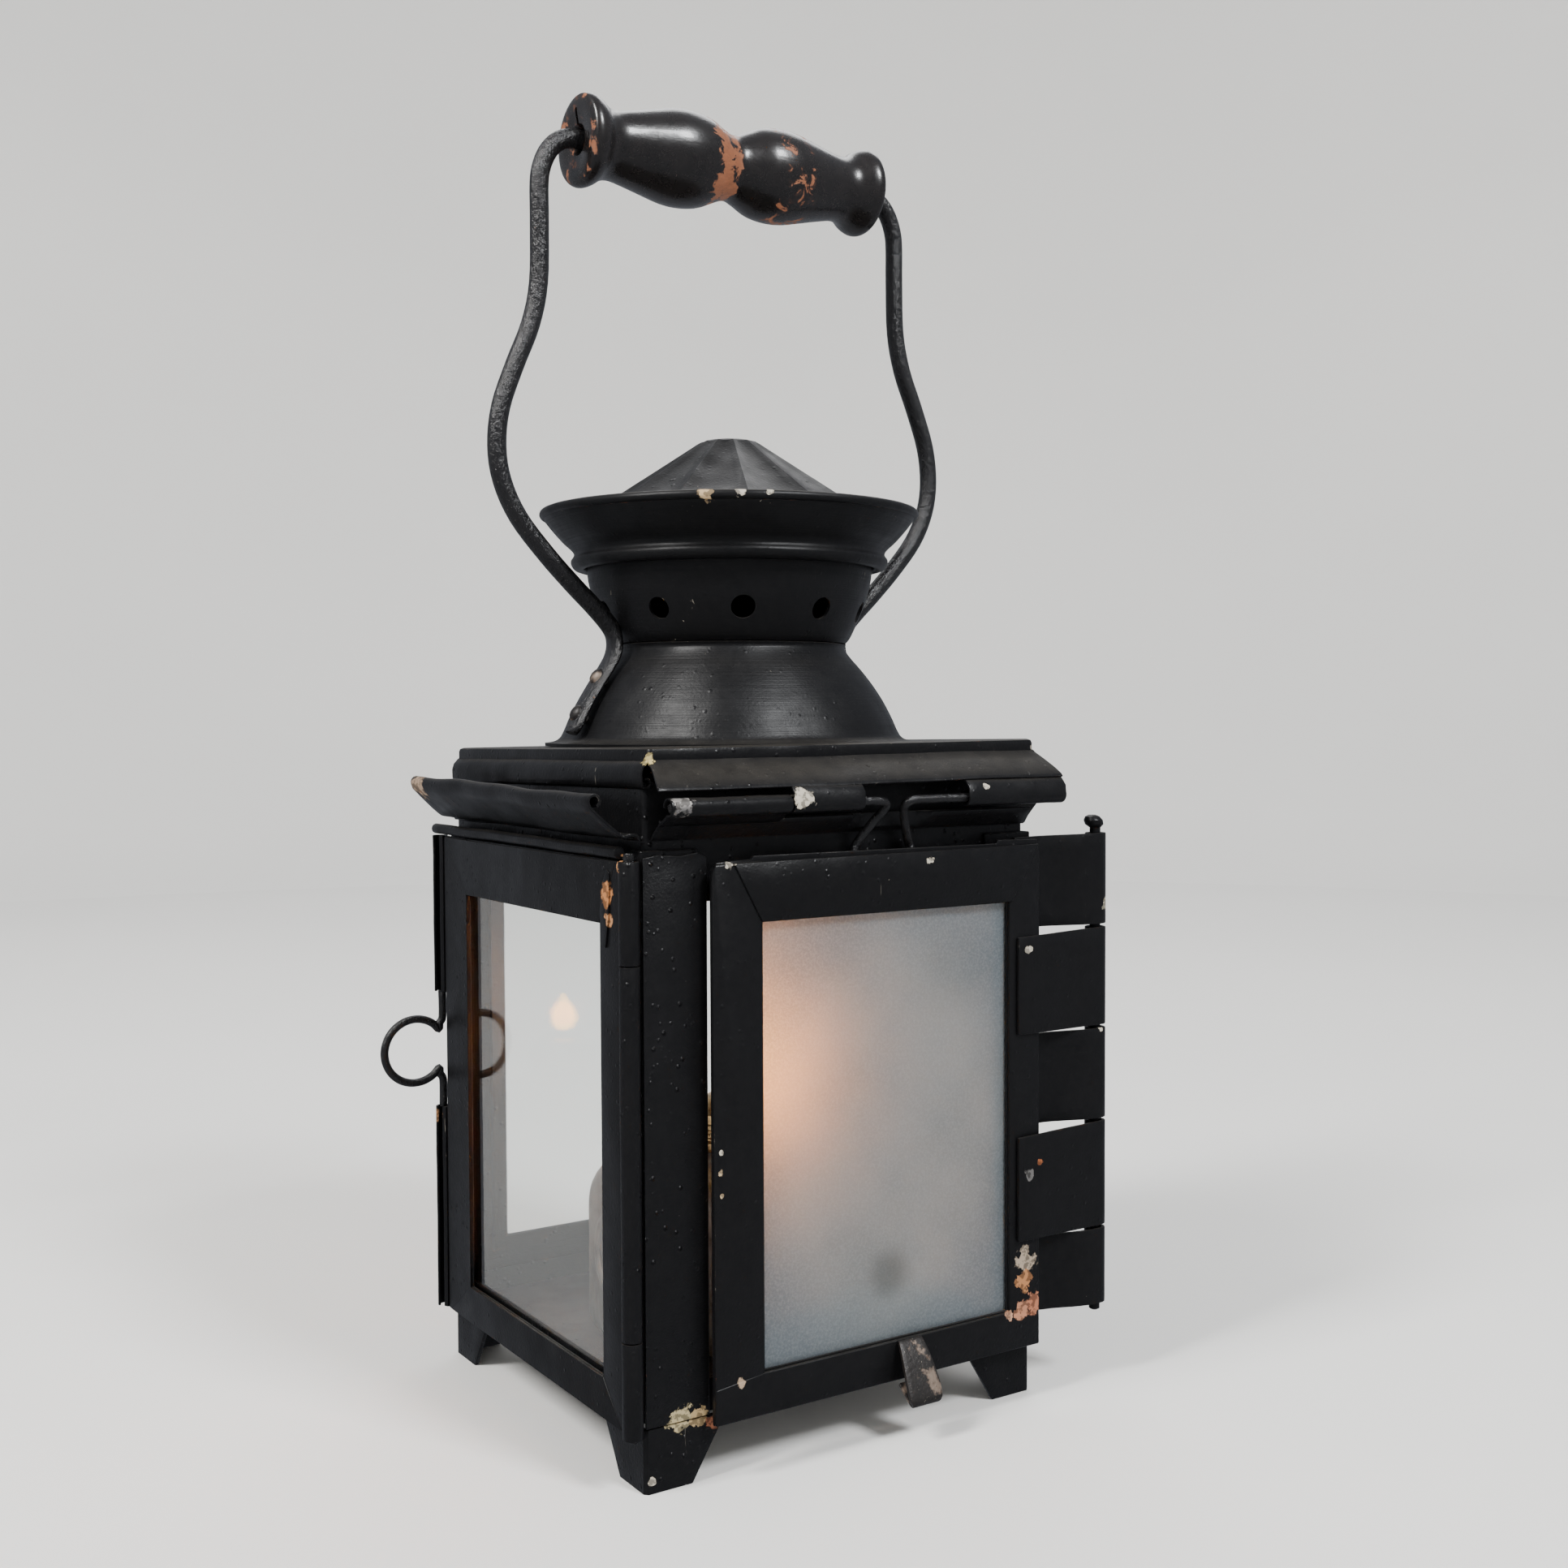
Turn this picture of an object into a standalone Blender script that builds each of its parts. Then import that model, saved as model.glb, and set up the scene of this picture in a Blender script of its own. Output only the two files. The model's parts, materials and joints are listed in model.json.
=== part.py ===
"""A square sheet-metal hand lantern with an oil lamp inside, as an assembly of separate pieces.

Metres, +Z up. The lantern stands on its feet at z = 0. Its frosted panel faces -Y, its glass door
faces -X, and its wire bail runs along X over the roof.
"""

import math

import bmesh
import bpy
from mathutils import Matrix, Vector

MM = 0.001

# Driving dimensions.
HALF_X = 60.0 * MM  # body, half its width
HALF_Y = 57.5 * MM  # body, half its depth
Y_SHIFT = 3.6 * MM  # body centre, so that the whole object's box is centred on the origin
FOOT_HEIGHT = 17.0 * MM
BODY_TOP = 154.0 * MM
BAND_TOP = 163.5 * MM
ROOF_TOP = 178.0 * MM
SHEET = 0.9 * MM
GAP = 0.35 * MM  # between pieces that rest on each other
POST_WIDTH = 15.5 * MM
DOOR_SHEET = 1.6 * MM  # a doubled sheet
DOOR_BOTTOM = 14.5 * MM
DOOR_TOP = 152.5 * MM
PANE = 1.8 * MM

# The outboard hinge of the front panel.
PANEL_LEFT = -41.4 * MM
PANEL_RIGHT = 59.7 * MM
PANEL_FACE = -62.3 * MM
PANEL_AXIS = (81.0 * MM, -60.7 * MM)
LEAF_EYE = 2.9 * MM
LEAF_BORE = 1.75 * MM
LEAF_SHEET = 1.0 * MM
LEAF_LEVELS = (153.5, 127.5, 99.5, 73.5, 43.5, 21.5)  # in mm, top to bottom

# The corner hinge of the left door.
DOOR_AXIS = (-62.9 * MM, -57.0 * MM)
DOOR_EDGE = 58.3 * MM
KNUCKLE = 2.6 * MM
KNUCKLE_BORE = 1.65 * MM
DOOR_PIN = 1.3 * MM
MIDDLE_KNUCKLE = (38.0 * MM, 127.0 * MM)
HEM = 2.2 * MM
HEM_BORE = 1.5 * MM
HEM_NOTCH = (73.0 * MM, 106.5 * MM)

# Rings bent from wire.
WIRE = 1.15 * MM
RING = 9.2 * MM

# The roof's hinge, along X above the front panel.
ROOF_AXIS_Y = -66.2 * MM
ROOF_AXIS_Z = 164.4 * MM
ROOF_KNUCKLE = 2.3 * MM
ROOF_BORE = 1.5 * MM
EAVE_FLARE = 9.6 * MM  # of the front skirt; the other sides drop nearly straight
EAVE_STRAIGHT = 2.0 * MM

# Bail and grip.
BAIL_WIRE = 2.5 * MM
BAIL_TOP = 337.0 * MM
BAIL_SIDE = 57.2 * MM
GRIP_HALF = 50.0 * MM
GRIP_BORE = 3.0 * MM

# Lamp.
TANK_RADIUS = 40.0 * MM
TANK_BOTTOM = FOOT_HEIGHT + GAP
TANK_TOP = 64.5 * MM

VENT_HOLES = 10
CAP_PLEATS = 12
TURN_STEPS = 32

BLACK = (0.012, 0.012, 0.013)
WOOD_BLACK = (0.03, 0.016, 0.011)


def clear_scene():
    for old in list(bpy.data.objects):
        bpy.data.objects.remove(old)


def collection(name, hidden=False):
    made = bpy.data.collections.new(name)
    made.hide_render = hidden
    bpy.context.scene.collection.children.link(made)
    return made


def material(name, colour, roughness=0.4, metallic=0.0, transmission=0.0):
    made = bpy.data.materials.new(name)
    made.use_nodes = True
    shader = made.node_tree.nodes["Principled BSDF"]
    shader.inputs["Base Color"].default_value = (*colour, 1.0)
    shader.inputs["Roughness"].default_value = roughness
    shader.inputs["Metallic"].default_value = metallic
    shader.inputs["Transmission Weight"].default_value = transmission
    made.diffuse_color = (*colour, 1.0)
    return made


clear_scene()
PARTS = collection("hand_lantern")
CUTTERS = collection("cutters", hidden=True)
PAINT = material("black_paint", BLACK, 0.35)
BAIL_PAINT = material("bail_paint", (0.014, 0.013, 0.013), 0.45)
STEEL = material("worn_steel", (0.25, 0.2, 0.16), 0.5, 1.0)
CLEAR = material("clear_glass", (0.85, 0.93, 0.92), 0.05, 0.0, 1.0)
FROSTED = material("frosted_glass", (0.5, 0.53, 0.53), 0.6, 0.0, 0.6)
TIN = material("tin", (0.42, 0.42, 0.41), 0.4, 1.0)
BRASS = material("brass", (0.55, 0.36, 0.15), 0.35, 1.0)
COTTON = material("cotton", (0.35, 0.28, 0.2), 0.9)
WOOD = material("painted_wood", WOOD_BLACK, 0.4)


def empty(name, place, parent=None):
    """A frame for a moving piece, on its joint's axis. place is in the parent's own frame."""
    made = bpy.data.objects.new(name, None)
    made.empty_display_size = 0.01
    made.location = place
    made.parent = parent
    PARTS.objects.link(made)
    return made


LANTERN = empty("lantern", (0.0, Y_SHIFT, 0.0))
ROOF = empty("roof", (0.0, ROOF_AXIS_Y, ROOF_AXIS_Z), LANTERN)
LEFT_DOOR = empty("left_door", (*DOOR_AXIS, 0.0), LANTERN)
FRONT_PANEL = empty("front_panel", (*PANEL_AXIS, 0.0), LANTERN)
LAMP = empty("lamp", (0.0, 0.0, TANK_BOTTOM), LANTERN)


def adopt(made, parent):
    """Parents an object whose shape is in the lantern's frame, and leaves it where it is."""
    made.parent = parent
    place = Vector()
    above = parent
    while above is not None and above is not LANTERN:
        place += above.location
        above = above.parent
    made.matrix_parent_inverse = Matrix.Translation(-place)
    return made


def mesh_object(name, mesh, paint, parent=LANTERN, smooth=None):
    made = bpy.data.objects.new(name, mesh)
    mesh.materials.clear()
    mesh.materials.append(paint)
    PARTS.objects.link(made)
    adopt(made, parent)
    if smooth:
        mesh.shade_smooth()
        mesh.set_sharp_from_angle(angle=math.radians(smooth))
    return made


def bm_to_mesh(name, bm):
    bmesh.ops.recalc_face_normals(bm, faces=bm.faces)
    mesh = bpy.data.meshes.new(name)
    bm.to_mesh(mesh)
    bm.free()
    return mesh


def bevel(made, width, segments=1, angle=40.0):
    rounded = made.modifiers.new("bevel", "BEVEL")
    rounded.width = width
    rounded.segments = segments
    rounded.limit_method = "ANGLE"
    rounded.angle_limit = math.radians(angle)
    return made


def boolean(made, other, operation):
    cut = made.modifiers.new(operation.lower(), "BOOLEAN")
    cut.operation = operation
    cut.solver = "EXACT"
    cut.object = other
    for group in list(other.users_collection):
        group.objects.unlink(other)
    CUTTERS.objects.link(other)
    other.hide_render = True
    other.display_type = "WIRE"
    return made


def box(name, low, high, paint, parent=LANTERN, edge=None):
    bm = bmesh.new()
    size = Vector(high) - Vector(low)
    middle = (Vector(high) + Vector(low)) / 2
    bmesh.ops.create_cube(bm, size=1.0, matrix=Matrix.Translation(middle) @ Matrix.Diagonal((*size, 1)))
    made = mesh_object(name, bm_to_mesh(name, bm), paint, parent)
    if edge:
        bevel(made, edge)
    return made


def sheet(name, rings, paint, parent=LANTERN, closed=True, thickness=SHEET, offset=-1.0, capped=False):
    """Sheet metal: an open surface through rows of points, given a thickness. Each row has the same
    number of points, and a closed row runs all the way round. capped fills the last row."""
    bm = bmesh.new()
    rows = [[bm.verts.new(point) for point in ring] for ring in rings]
    count = len(rows[0])
    for upper, lower in zip(rows, rows[1:]):
        for i in range(count if closed else count - 1):
            j = (i + 1) % count
            bm.faces.new((upper[i], lower[i], lower[j], upper[j]))
    if capped:
        bm.faces.new(rows[-1])
    mesh = bm_to_mesh(name, bm)
    made = mesh_object(name, mesh, paint, parent)
    solid = made.modifiers.new("sheet", "SOLIDIFY")
    solid.thickness = thickness
    solid.offset = offset
    solid.use_even_offset = True
    return made


def square(half_x, half_y, z, cut=1.2 * MM):
    """The corners of a rectangle, each cut a little, counterclockwise from above."""
    return [
        (half_x - cut, -half_y, z),
        (half_x, -half_y + cut, z),
        (half_x, half_y - cut, z),
        (half_x - cut, half_y, z),
        (-half_x + cut, half_y, z),
        (-half_x, half_y - cut, z),
        (-half_x, -half_y + cut, z),
        (-half_x + cut, -half_y, z),
    ]


def turned(name, profile, paint, parent=LANTERN, place=(0, 0, 0), axis="Z", steps=TURN_STEPS, smooth=35.0):
    """Turns a closed profile of (radius, height) points about an axis. Its outer side runs down."""
    bm = bmesh.new()
    corners = [bm.verts.new((radius, 0.0, height)) for radius, height in profile]
    for first, second in zip(corners, corners[1:]):
        bm.edges.new((first, second))
    if profile[0][0] > 1e-6 or profile[-1][0] > 1e-6:
        bm.edges.new((corners[-1], corners[0]))
    mesh = bpy.data.meshes.new(name)
    bm.to_mesh(mesh)
    bm.free()
    made = mesh_object(name, mesh, paint, parent)
    screw = made.modifiers.new("turn", "SCREW")
    screw.steps = steps
    screw.render_steps = steps
    screw.use_merge_vertices = True
    screw.merge_threshold = 0.00001
    turn = {"Z": Matrix(), "X": Matrix.Rotation(math.radians(90), 4, "Y"), "Y": Matrix.Rotation(
        math.radians(-90), 4, "X")}[axis]
    made.matrix_basis = Matrix.Translation(place) @ turn
    return made


def shell_profile(outer, thickness):
    """A closed wall from an outer line that runs down, offset towards the axis."""
    inner = []
    for i, (radius, height) in enumerate(outer):
        before = Vector(outer[max(i - 1, 0)])
        after = Vector(outer[min(i + 1, len(outer) - 1)])
        along = (after - before).normalized()
        inner.append((radius + along.y * thickness, height - along.x * thickness))
    return list(outer) + inner[::-1]


def outline_object(name, splines, thickness, paint, parent, matrix):
    """A flat outline with its holes, as thick as asked, centred on its own plane, as a mesh."""
    curve = bpy.data.curves.new(name, "CURVE")
    curve.dimensions = "2D"
    curve.fill_mode = "BOTH"
    curve.extrude = thickness / 2
    for points in splines:
        spline = curve.splines.new("POLY")
        spline.points.add(len(points) - 1)
        for point, (x, y) in zip(spline.points, points):
            point.co = (x, y, 0.0, 1.0)
        spline.use_cyclic_u = True
    return as_mesh(name, curve, paint, parent, matrix)


def as_mesh(name, curve, paint, parent, matrix=Matrix()):
    """A curve's evaluated shape as a mesh object with its caps welded. The curve is removed."""
    guide = bpy.data.objects.new(name + "_curve", curve)
    PARTS.objects.link(guide)
    graph = bpy.context.evaluated_depsgraph_get()
    mesh = bpy.data.meshes.new_from_object(guide.evaluated_get(graph))
    bm = bmesh.new()
    bm.from_mesh(mesh)
    bmesh.ops.remove_doubles(bm, verts=bm.verts, dist=0.000005)
    bmesh.ops.transform(bm, matrix=matrix, verts=bm.verts)
    bm.to_mesh(mesh)
    bm.free()
    bpy.data.objects.remove(guide)
    mesh.name = name
    return mesh_object(name, mesh, paint, parent)


def wire(name, points, radius, paint, parent=LANTERN, resolution=2):
    curve = bpy.data.curves.new(name, "CURVE")
    curve.dimensions = "3D"
    curve.bevel_depth = radius
    curve.bevel_resolution = resolution
    curve.use_fill_caps = True
    spline = curve.splines.new("POLY")
    spline.points.add(len(points) - 1)
    for point, place in zip(spline.points, points):
        point.co = (*place, 1.0)
    made = as_mesh(name, curve, paint, parent)
    made.data.shade_smooth()
    made.data.set_sharp_from_angle(angle=math.radians(50))
    return made


def circle(radius, count=16, middle=(0.0, 0.0)):
    return [
        (middle[0] + radius * math.cos(math.tau * i / count), middle[1] + radius * math.sin(math.tau * i / count))
        for i in range(count)
    ]


def rod(name, start, end, radius, paint, parent=LANTERN, count=16, edge=None):
    """A round bar between two points."""
    start, end = Vector(start), Vector(end)
    bm = bmesh.new()
    turn = (end - start).to_track_quat("Z", "Y").to_matrix().to_4x4()
    bmesh.ops.create_cone(
        bm,
        cap_ends=True,
        segments=count,
        radius1=radius,
        radius2=radius,
        depth=(end - start).length,
        matrix=Matrix.Translation((start + end) / 2) @ turn,
    )
    made = mesh_object(name, bm_to_mesh(name, bm), paint, parent, smooth=40.0)
    if edge:
        bevel(made, edge)
    return made


def tube(name, start, end, outer, bore, paint, parent=LANTERN, count=16):
    """A round tube between two points, open at both ends."""
    start, end = Vector(start), Vector(end)
    turn = (end - start).to_track_quat("Z", "Y").to_matrix().to_4x4()
    return outline_object(
        name,
        (circle(outer, count), circle(bore, count)),
        (end - start).length,
        paint,
        parent,
        Matrix.Translation((start + end) / 2) @ turn,
    )


def upright(x_axis, y_axis, place):
    """The matrix that stands an outline up: its x and y go along the axes given."""
    x_axis, y_axis = Vector(x_axis), Vector(y_axis)
    turn = Matrix((x_axis, y_axis, x_axis.cross(y_axis))).transposed().to_4x4()
    return Matrix.Translation(place) @ turn


def leaf(name, place, along, flap, reach, eye, bore, thickness, side, width, paint, parent):
    """A hinge leaf: a strip tangent to its rolled eye. along is the eye's axis, flap the way the
    strip goes, side +1 or -1 the side of the eye that it meets."""
    count = 14
    inner = eye - thickness
    outline = keyhole(reach, eye, inner, count)
    outline = [(x, y * side) for x, y in outline]
    axis = Vector(along)
    x_axis = -Vector(flap)
    y_axis = axis.cross(x_axis)
    return outline_object(
        name, (outline, circle(bore, count)), width, paint, parent, upright(x_axis, y_axis, place)
    )


def keyhole(reach, eye, inner, count):
    """The outline of a strip that meets a round eye: along the strip, then round the eye."""
    start = -math.pi / 2
    end = math.pi + math.asin(inner / eye)
    points = [(-reach, -eye)]
    for i in range(count + 1):
        angle = start + (end - start) * i / count
        points.append((eye * math.cos(angle), eye * math.sin(angle)))
    points.append((-reach, -inner))
    return points


def window_frame(name, outer, opening, thickness, paint, parent, matrix, edge=0.4 * MM):
    """A flat frame with one rectangular opening, from (left, bottom, right, top) boxes."""
    made = outline_object(name, (rectangle(outer), rectangle(opening)), thickness, paint, parent, matrix)
    return bevel(made, edge)


def rectangle(bounds):
    left, bottom, right, top = bounds
    return [(left, bottom), (right, bottom), (right, top), (left, top)]


def front_matrix(y):
    """Stands an outline in a plane that faces -Y: its x is X, its y is Z."""
    return upright((1, 0, 0), (0, 0, 1), (0, y, 0))


def left_matrix(x):
    """Stands an outline in a plane that faces -X: its x is Y, its y is Z."""
    return upright((0, 1, 0), (0, 0, 1), (x, 0, 0))


def omega(centre, radius, opening, reach, tail, out, up):
    """The points of a wire ring open on one side, its two ends bent along +up and -up."""
    centre, out, up = Vector(centre), Vector(out), Vector(up)
    count = 16
    half = math.radians(180 - opening)
    ring = []
    for i in range(count + 1):
        angle = -half + 2 * half * i / count
        ring.append(centre + out * radius * math.cos(angle) + up * radius * math.sin(angle))
    spread = radius * math.sin(half)
    low = centre - out * reach - up * (spread + 2.2 * MM)
    high = centre - out * reach + up * (spread + 2.2 * MM)
    return [low - up * tail, low] + ring + [high, high + up * tail]


# Body.


def base_pan():
    pan = sheet(
        "base_pan",
        [
            square(HALF_X - 2.4 * MM, HALF_Y - 2.4 * MM, FOOT_HEIGHT + 7 * MM),
            square(HALF_X - 2.4 * MM, HALF_Y - 2.4 * MM, FOOT_HEIGHT),
        ],
        PAINT,
        capped=True,
        offset=1.0,
    )
    return pan


def foot(name, side_x, side_y):
    """A tapered angle that wraps a corner."""
    wide, narrow = 24 * MM, 9 * MM
    rows = []
    for z, leg in ((FOOT_HEIGHT - GAP - SHEET, wide), (9 * MM, 15.5 * MM), (0.0, narrow)):
        x, y = side_x * HALF_X, side_y * HALF_Y
        rows.append([(x - side_x * leg, y, z), (x, y, z), (x, y - side_y * leg, z)])
    return sheet(name, rows, PAINT, closed=False, thickness=1.3 * MM)


def post(name, side_x, side_y, leg_x, leg_y):
    """A corner angle. leg_x is its width on the face that looks along Y."""
    t = 1.0 * MM
    outline = [
        (0, 0),
        (leg_x, 0),
        (leg_x, t),
        (t, t),
        (t, leg_y),
        (0, leg_y),
    ]
    outline = [(side_x * (HALF_X - x), side_y * (HALF_Y - y)) for x, y in outline]
    bottom = FOOT_HEIGHT + GAP
    matrix = Matrix.Translation((0, 0, (bottom + BODY_TOP) / 2))
    made = outline_object(name, (outline,), BODY_TOP - bottom, PAINT, LANTERN, matrix)
    return bevel(made, 0.3 * MM)


def upper_band():
    """The plain band round the top of the body, above the doors."""
    half_x, half_y = HALF_X - 1.4 * MM, HALF_Y - 1.4 * MM
    return sheet(
        "upper_band",
        [square(half_x, half_y, BAND_TOP), square(half_x, half_y, 141 * MM)],
        PAINT,
        offset=-1.0,
    )


def side_row(side, offset, z, start, end):
    """Two points along one side of the body, at an offset out of its face."""
    if side in ("left", "right"):
        x = (HALF_X + offset) * (-1 if side == "left" else 1)
        return [(x, start, z), (x, end, z)]
    y = (HALF_Y + offset) * (-1 if side == "front" else 1)
    return [(start, y, z), (end, y, z)]


def collar(side, profile, start, end, flip):
    """A flange that flares out of the body below the eave. profile is (offset, z) points."""
    rows = [side_row(side, offset, z, start, end) for offset, z in profile]
    return sheet(
        "collar_" + side, rows, PAINT, closed=False, thickness=0.8 * MM, offset=flip
    )


def curl(offset, z, radius, turns=0.72, count=7):
    """Points of a hem rolled outwards and over, from the sheet's top edge."""
    points = []
    for i in range(count + 1):
        angle = math.radians(-45) + math.tau * turns * i / count
        points.append((offset + radius * math.cos(angle), z + radius * math.sin(angle)))
    return points


def collars():
    low = BODY_TOP + 2.4 * MM
    left = [(-0.6 * MM, low), (0.8 * MM, low + 1.6 * MM), (3.6 * MM, low + 0.6 * MM), (12.2 * MM, low + 8.2 * MM)]
    left += curl(11.4 * MM, low + 10.0 * MM, 1.5 * MM)
    collar("left", left, -56.5 * MM, 55.0 * MM, 1.0)
    plain = [(-0.6 * MM, low), (0.6 * MM, low + 1.8 * MM), (5.6 * MM, low + 7.0 * MM), (5.8 * MM, low + 9.0 * MM)]
    collar("right", plain, -56.0 * MM, 56.0 * MM, -1.0)
    collar("back", plain, -57.5 * MM, 57.5 * MM, -1.0)
    front = [(-0.6 * MM, low), (0.6 * MM, low + 1.4 * MM), (4.4 * MM, low + 3.8 * MM)]
    made = collar("front", front, -57.0 * MM, 58.5 * MM, 1.0)
    notch = box("collar_notch", (-1 * MM, -70 * MM, low + 0.6 * MM), (20 * MM, -57.6 * MM, low + 6 * MM), PAINT)
    boolean(made, notch, "DIFFERENCE")


def side_wall():
    """The plain sheet that closes the right side, inside its posts."""
    x = HALF_X - 1.0 * MM - GAP
    box(
        "side_wall_right",
        (x - SHEET, -HALF_Y + 3 * MM, FOOT_HEIGHT + 9 * MM),
        (x, HALF_Y - 3 * MM, 140 * MM),
        PAINT,
    )


def back_window():
    """The fixed window at the back, inside its posts."""
    y = HALF_Y - 1.0 * MM - GAP
    half = 44.0 * MM
    window_frame(
        "back_frame",
        (-HALF_X + 3.4 * MM, 26 * MM, HALF_X - 3.4 * MM, 140 * MM),
        (-half, 33 * MM, half, 134 * MM),
        1.2 * MM,
        PAINT,
        LANTERN,
        front_matrix(y - 0.6 * MM),
    )
    glass_y = y - 1.2 * MM - GAP
    box(
        "back_glass",
        (-half - 5 * MM, glass_y - PANE, 29 * MM),
        (half + 5 * MM, glass_y, 138 * MM),
        CLEAR,
    )


# Front panel and its hinge.


def front_hinge():
    levels = [level * MM for level in LEAF_LEVELS]
    for i, (top, bottom) in enumerate(zip(levels, levels[1:])):
        on_body = i % 2 == 0
        top -= 0.5 * MM
        bottom += 0.5 * MM
        leaf(
            ("body_leaf_%d" if on_body else "panel_leaf_%d") % (i // 2 + 1),
            (*PANEL_AXIS, (top + bottom) / 2),
            (0, 0, 1),
            (-1, 0, 0),
            (PANEL_AXIS[0] - 53.5 * MM) if on_body else (PANEL_AXIS[0] - 51.0 * MM),
            LEAF_EYE,
            LEAF_BORE,
            LEAF_SHEET,
            -1 if on_body else 1,
            top - bottom,
            PAINT,
            LANTERN if on_body else FRONT_PANEL,
        )
    top = levels[0]
    profile = [
        (0.0, top + 4.6 * MM),
        (1.9 * MM, top + 4.2 * MM),
        (2.6 * MM, top + 3.0 * MM),
        (2.5 * MM, top + 1.6 * MM),
        (1.5 * MM, top + 0.8 * MM),
        (1.5 * MM, levels[-1] - 2.0 * MM),
        (0.0, levels[-1] - 2.0 * MM),
    ]
    turned("front_hinge_pin", profile, PAINT, place=(*PANEL_AXIS, 0), steps=16)


def front_panel():
    middle = PANEL_FACE + DOOR_SHEET / 2
    window_frame(
        "front_panel_frame",
        (PANEL_LEFT, DOOR_BOTTOM, PANEL_RIGHT, DOOR_TOP),
        (-29.0 * MM, 25.0 * MM, 48.8 * MM, 136.0 * MM),
        DOOR_SHEET,
        PAINT,
        FRONT_PANEL,
        front_matrix(middle),
    )
    back = PANEL_FACE + DOOR_SHEET + GAP
    box(
        "frosted_glass",
        (-33.0 * MM, back, 21.0 * MM),
        (52.4 * MM, back + PANE, 137.6 * MM),
        FROSTED,
        FRONT_PANEL,
    )
    rows = []
    for depth, z, half in (
        (0.5, 25.5, 9.0),
        (2.0, 22.5, 8.0),
        (7.0, 15.5, 3.5),
        (7.6, 13.5, 2.8),
        (6.4, 12.0, 3.2),
        (1.0, 14.8, 7.0),
    ):
        y = PANEL_FACE - GAP - depth * MM
        rows.append([((17 - half) * MM, y, z * MM), ((17 + half) * MM, y, z * MM)])
    sheet("front_panel_lug", rows, PAINT, FRONT_PANEL, closed=False, thickness=1.0 * MM, offset=0.0)


# Left door and its hinge.


def left_door():
    plane = DOOR_AXIS[0]
    start = DOOR_AXIS[1]
    low, high = MIDDLE_KNUCKLE
    near, far = start + 2.05 * MM, start + KNUCKLE + 0.6 * MM
    edge = DOOR_EDGE - 1.85 * MM
    notch = DOOR_EDGE - HEM - 1.6 * MM
    roll = DOOR_TOP + 1.1 * MM
    top = DOOR_TOP - 0.8 * MM
    outline = [
        (near, DOOR_BOTTOM),
        (edge, DOOR_BOTTOM),
        (edge, HEM_NOTCH[0]),
        (notch, HEM_NOTCH[0]),
        (notch, HEM_NOTCH[1]),
        (edge, HEM_NOTCH[1]),
        (edge, top),
        (near, top),
        (near, high + GAP),
        (far, high + GAP),
        (far, low - GAP),
        (near, low - GAP),
    ]
    opening = rectangle((-43.0 * MM, 25.0 * MM, 38.5 * MM, 136.0 * MM))
    made = outline_object(
        "left_door_frame", (outline, opening), DOOR_SHEET, PAINT, LEFT_DOOR, left_matrix(plane)
    )
    for name, start_z, end_z in (
        ("knuckle_low", DOOR_BOTTOM, low - GAP),
        ("knuckle_high", high + GAP, top),
    ):
        boolean(
            made,
            tube(name, (*DOOR_AXIS, start_z), (*DOOR_AXIS, end_z), KNUCKLE, KNUCKLE_BORE, PAINT),
            "UNION",
        )
    for name, start_z, end_z in (
        ("hem_low", DOOR_BOTTOM, HEM_NOTCH[0]),
        ("hem_high", HEM_NOTCH[1], top),
    ):
        boolean(
            made,
            tube(name, (plane, DOOR_EDGE, start_z), (plane, DOOR_EDGE, end_z), HEM, HEM_BORE, PAINT),
            "UNION",
        )
    inside = plane + DOOR_SHEET / 2 + GAP
    box(
        "left_door_glass",
        (inside, -46.0 * MM, 21.0 * MM),
        (inside + 1.2 * MM, 42.0 * MM, 140.0 * MM),
        CLEAR,
        LEFT_DOOR,
    )
    rod(
        "left_door_top_roll",
        (plane - 0.4 * MM, start + KNUCKLE + 1.2 * MM, roll),
        (plane - 0.4 * MM, DOOR_EDGE + HEM, roll),
        1.5 * MM,
        PAINT,
        LEFT_DOOR,
        edge=0.5 * MM,
    )


def left_hinge():
    low, high = MIDDLE_KNUCKLE
    leaf(
        "left_hinge_knuckle",
        (*DOOR_AXIS, (low + high) / 2),
        (0, 0, 1),
        (0, 1, 0),
        9.0 * MM,
        KNUCKLE,
        KNUCKLE_BORE,
        0.7 * MM,
        -1,
        high - low,
        PAINT,
        LANTERN,
    )
    rod(
        "left_hinge_pin",
        (*DOOR_AXIS, DOOR_BOTTOM - 1.0 * MM),
        (*DOOR_AXIS, DOOR_TOP + 1.2 * MM),
        DOOR_PIN,
        STEEL,
        edge=0.3 * MM,
    )


def door_ring():
    middle = (HEM_NOTCH[0] + HEM_NOTCH[1]) / 2
    holder = empty("door_ring", (0.0, DOOR_EDGE - DOOR_AXIS[1], 0.0), LEFT_DOOR)
    points = omega(
        (DOOR_AXIS[0] - 8.4 * MM, DOOR_EDGE, middle), RING, 38, 8.4 * MM, 9.0 * MM, (-1, 0, 0), (0, 0, 1)
    )
    wire("ring_pull", points, WIRE, STEEL, holder)


# Roof.


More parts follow.
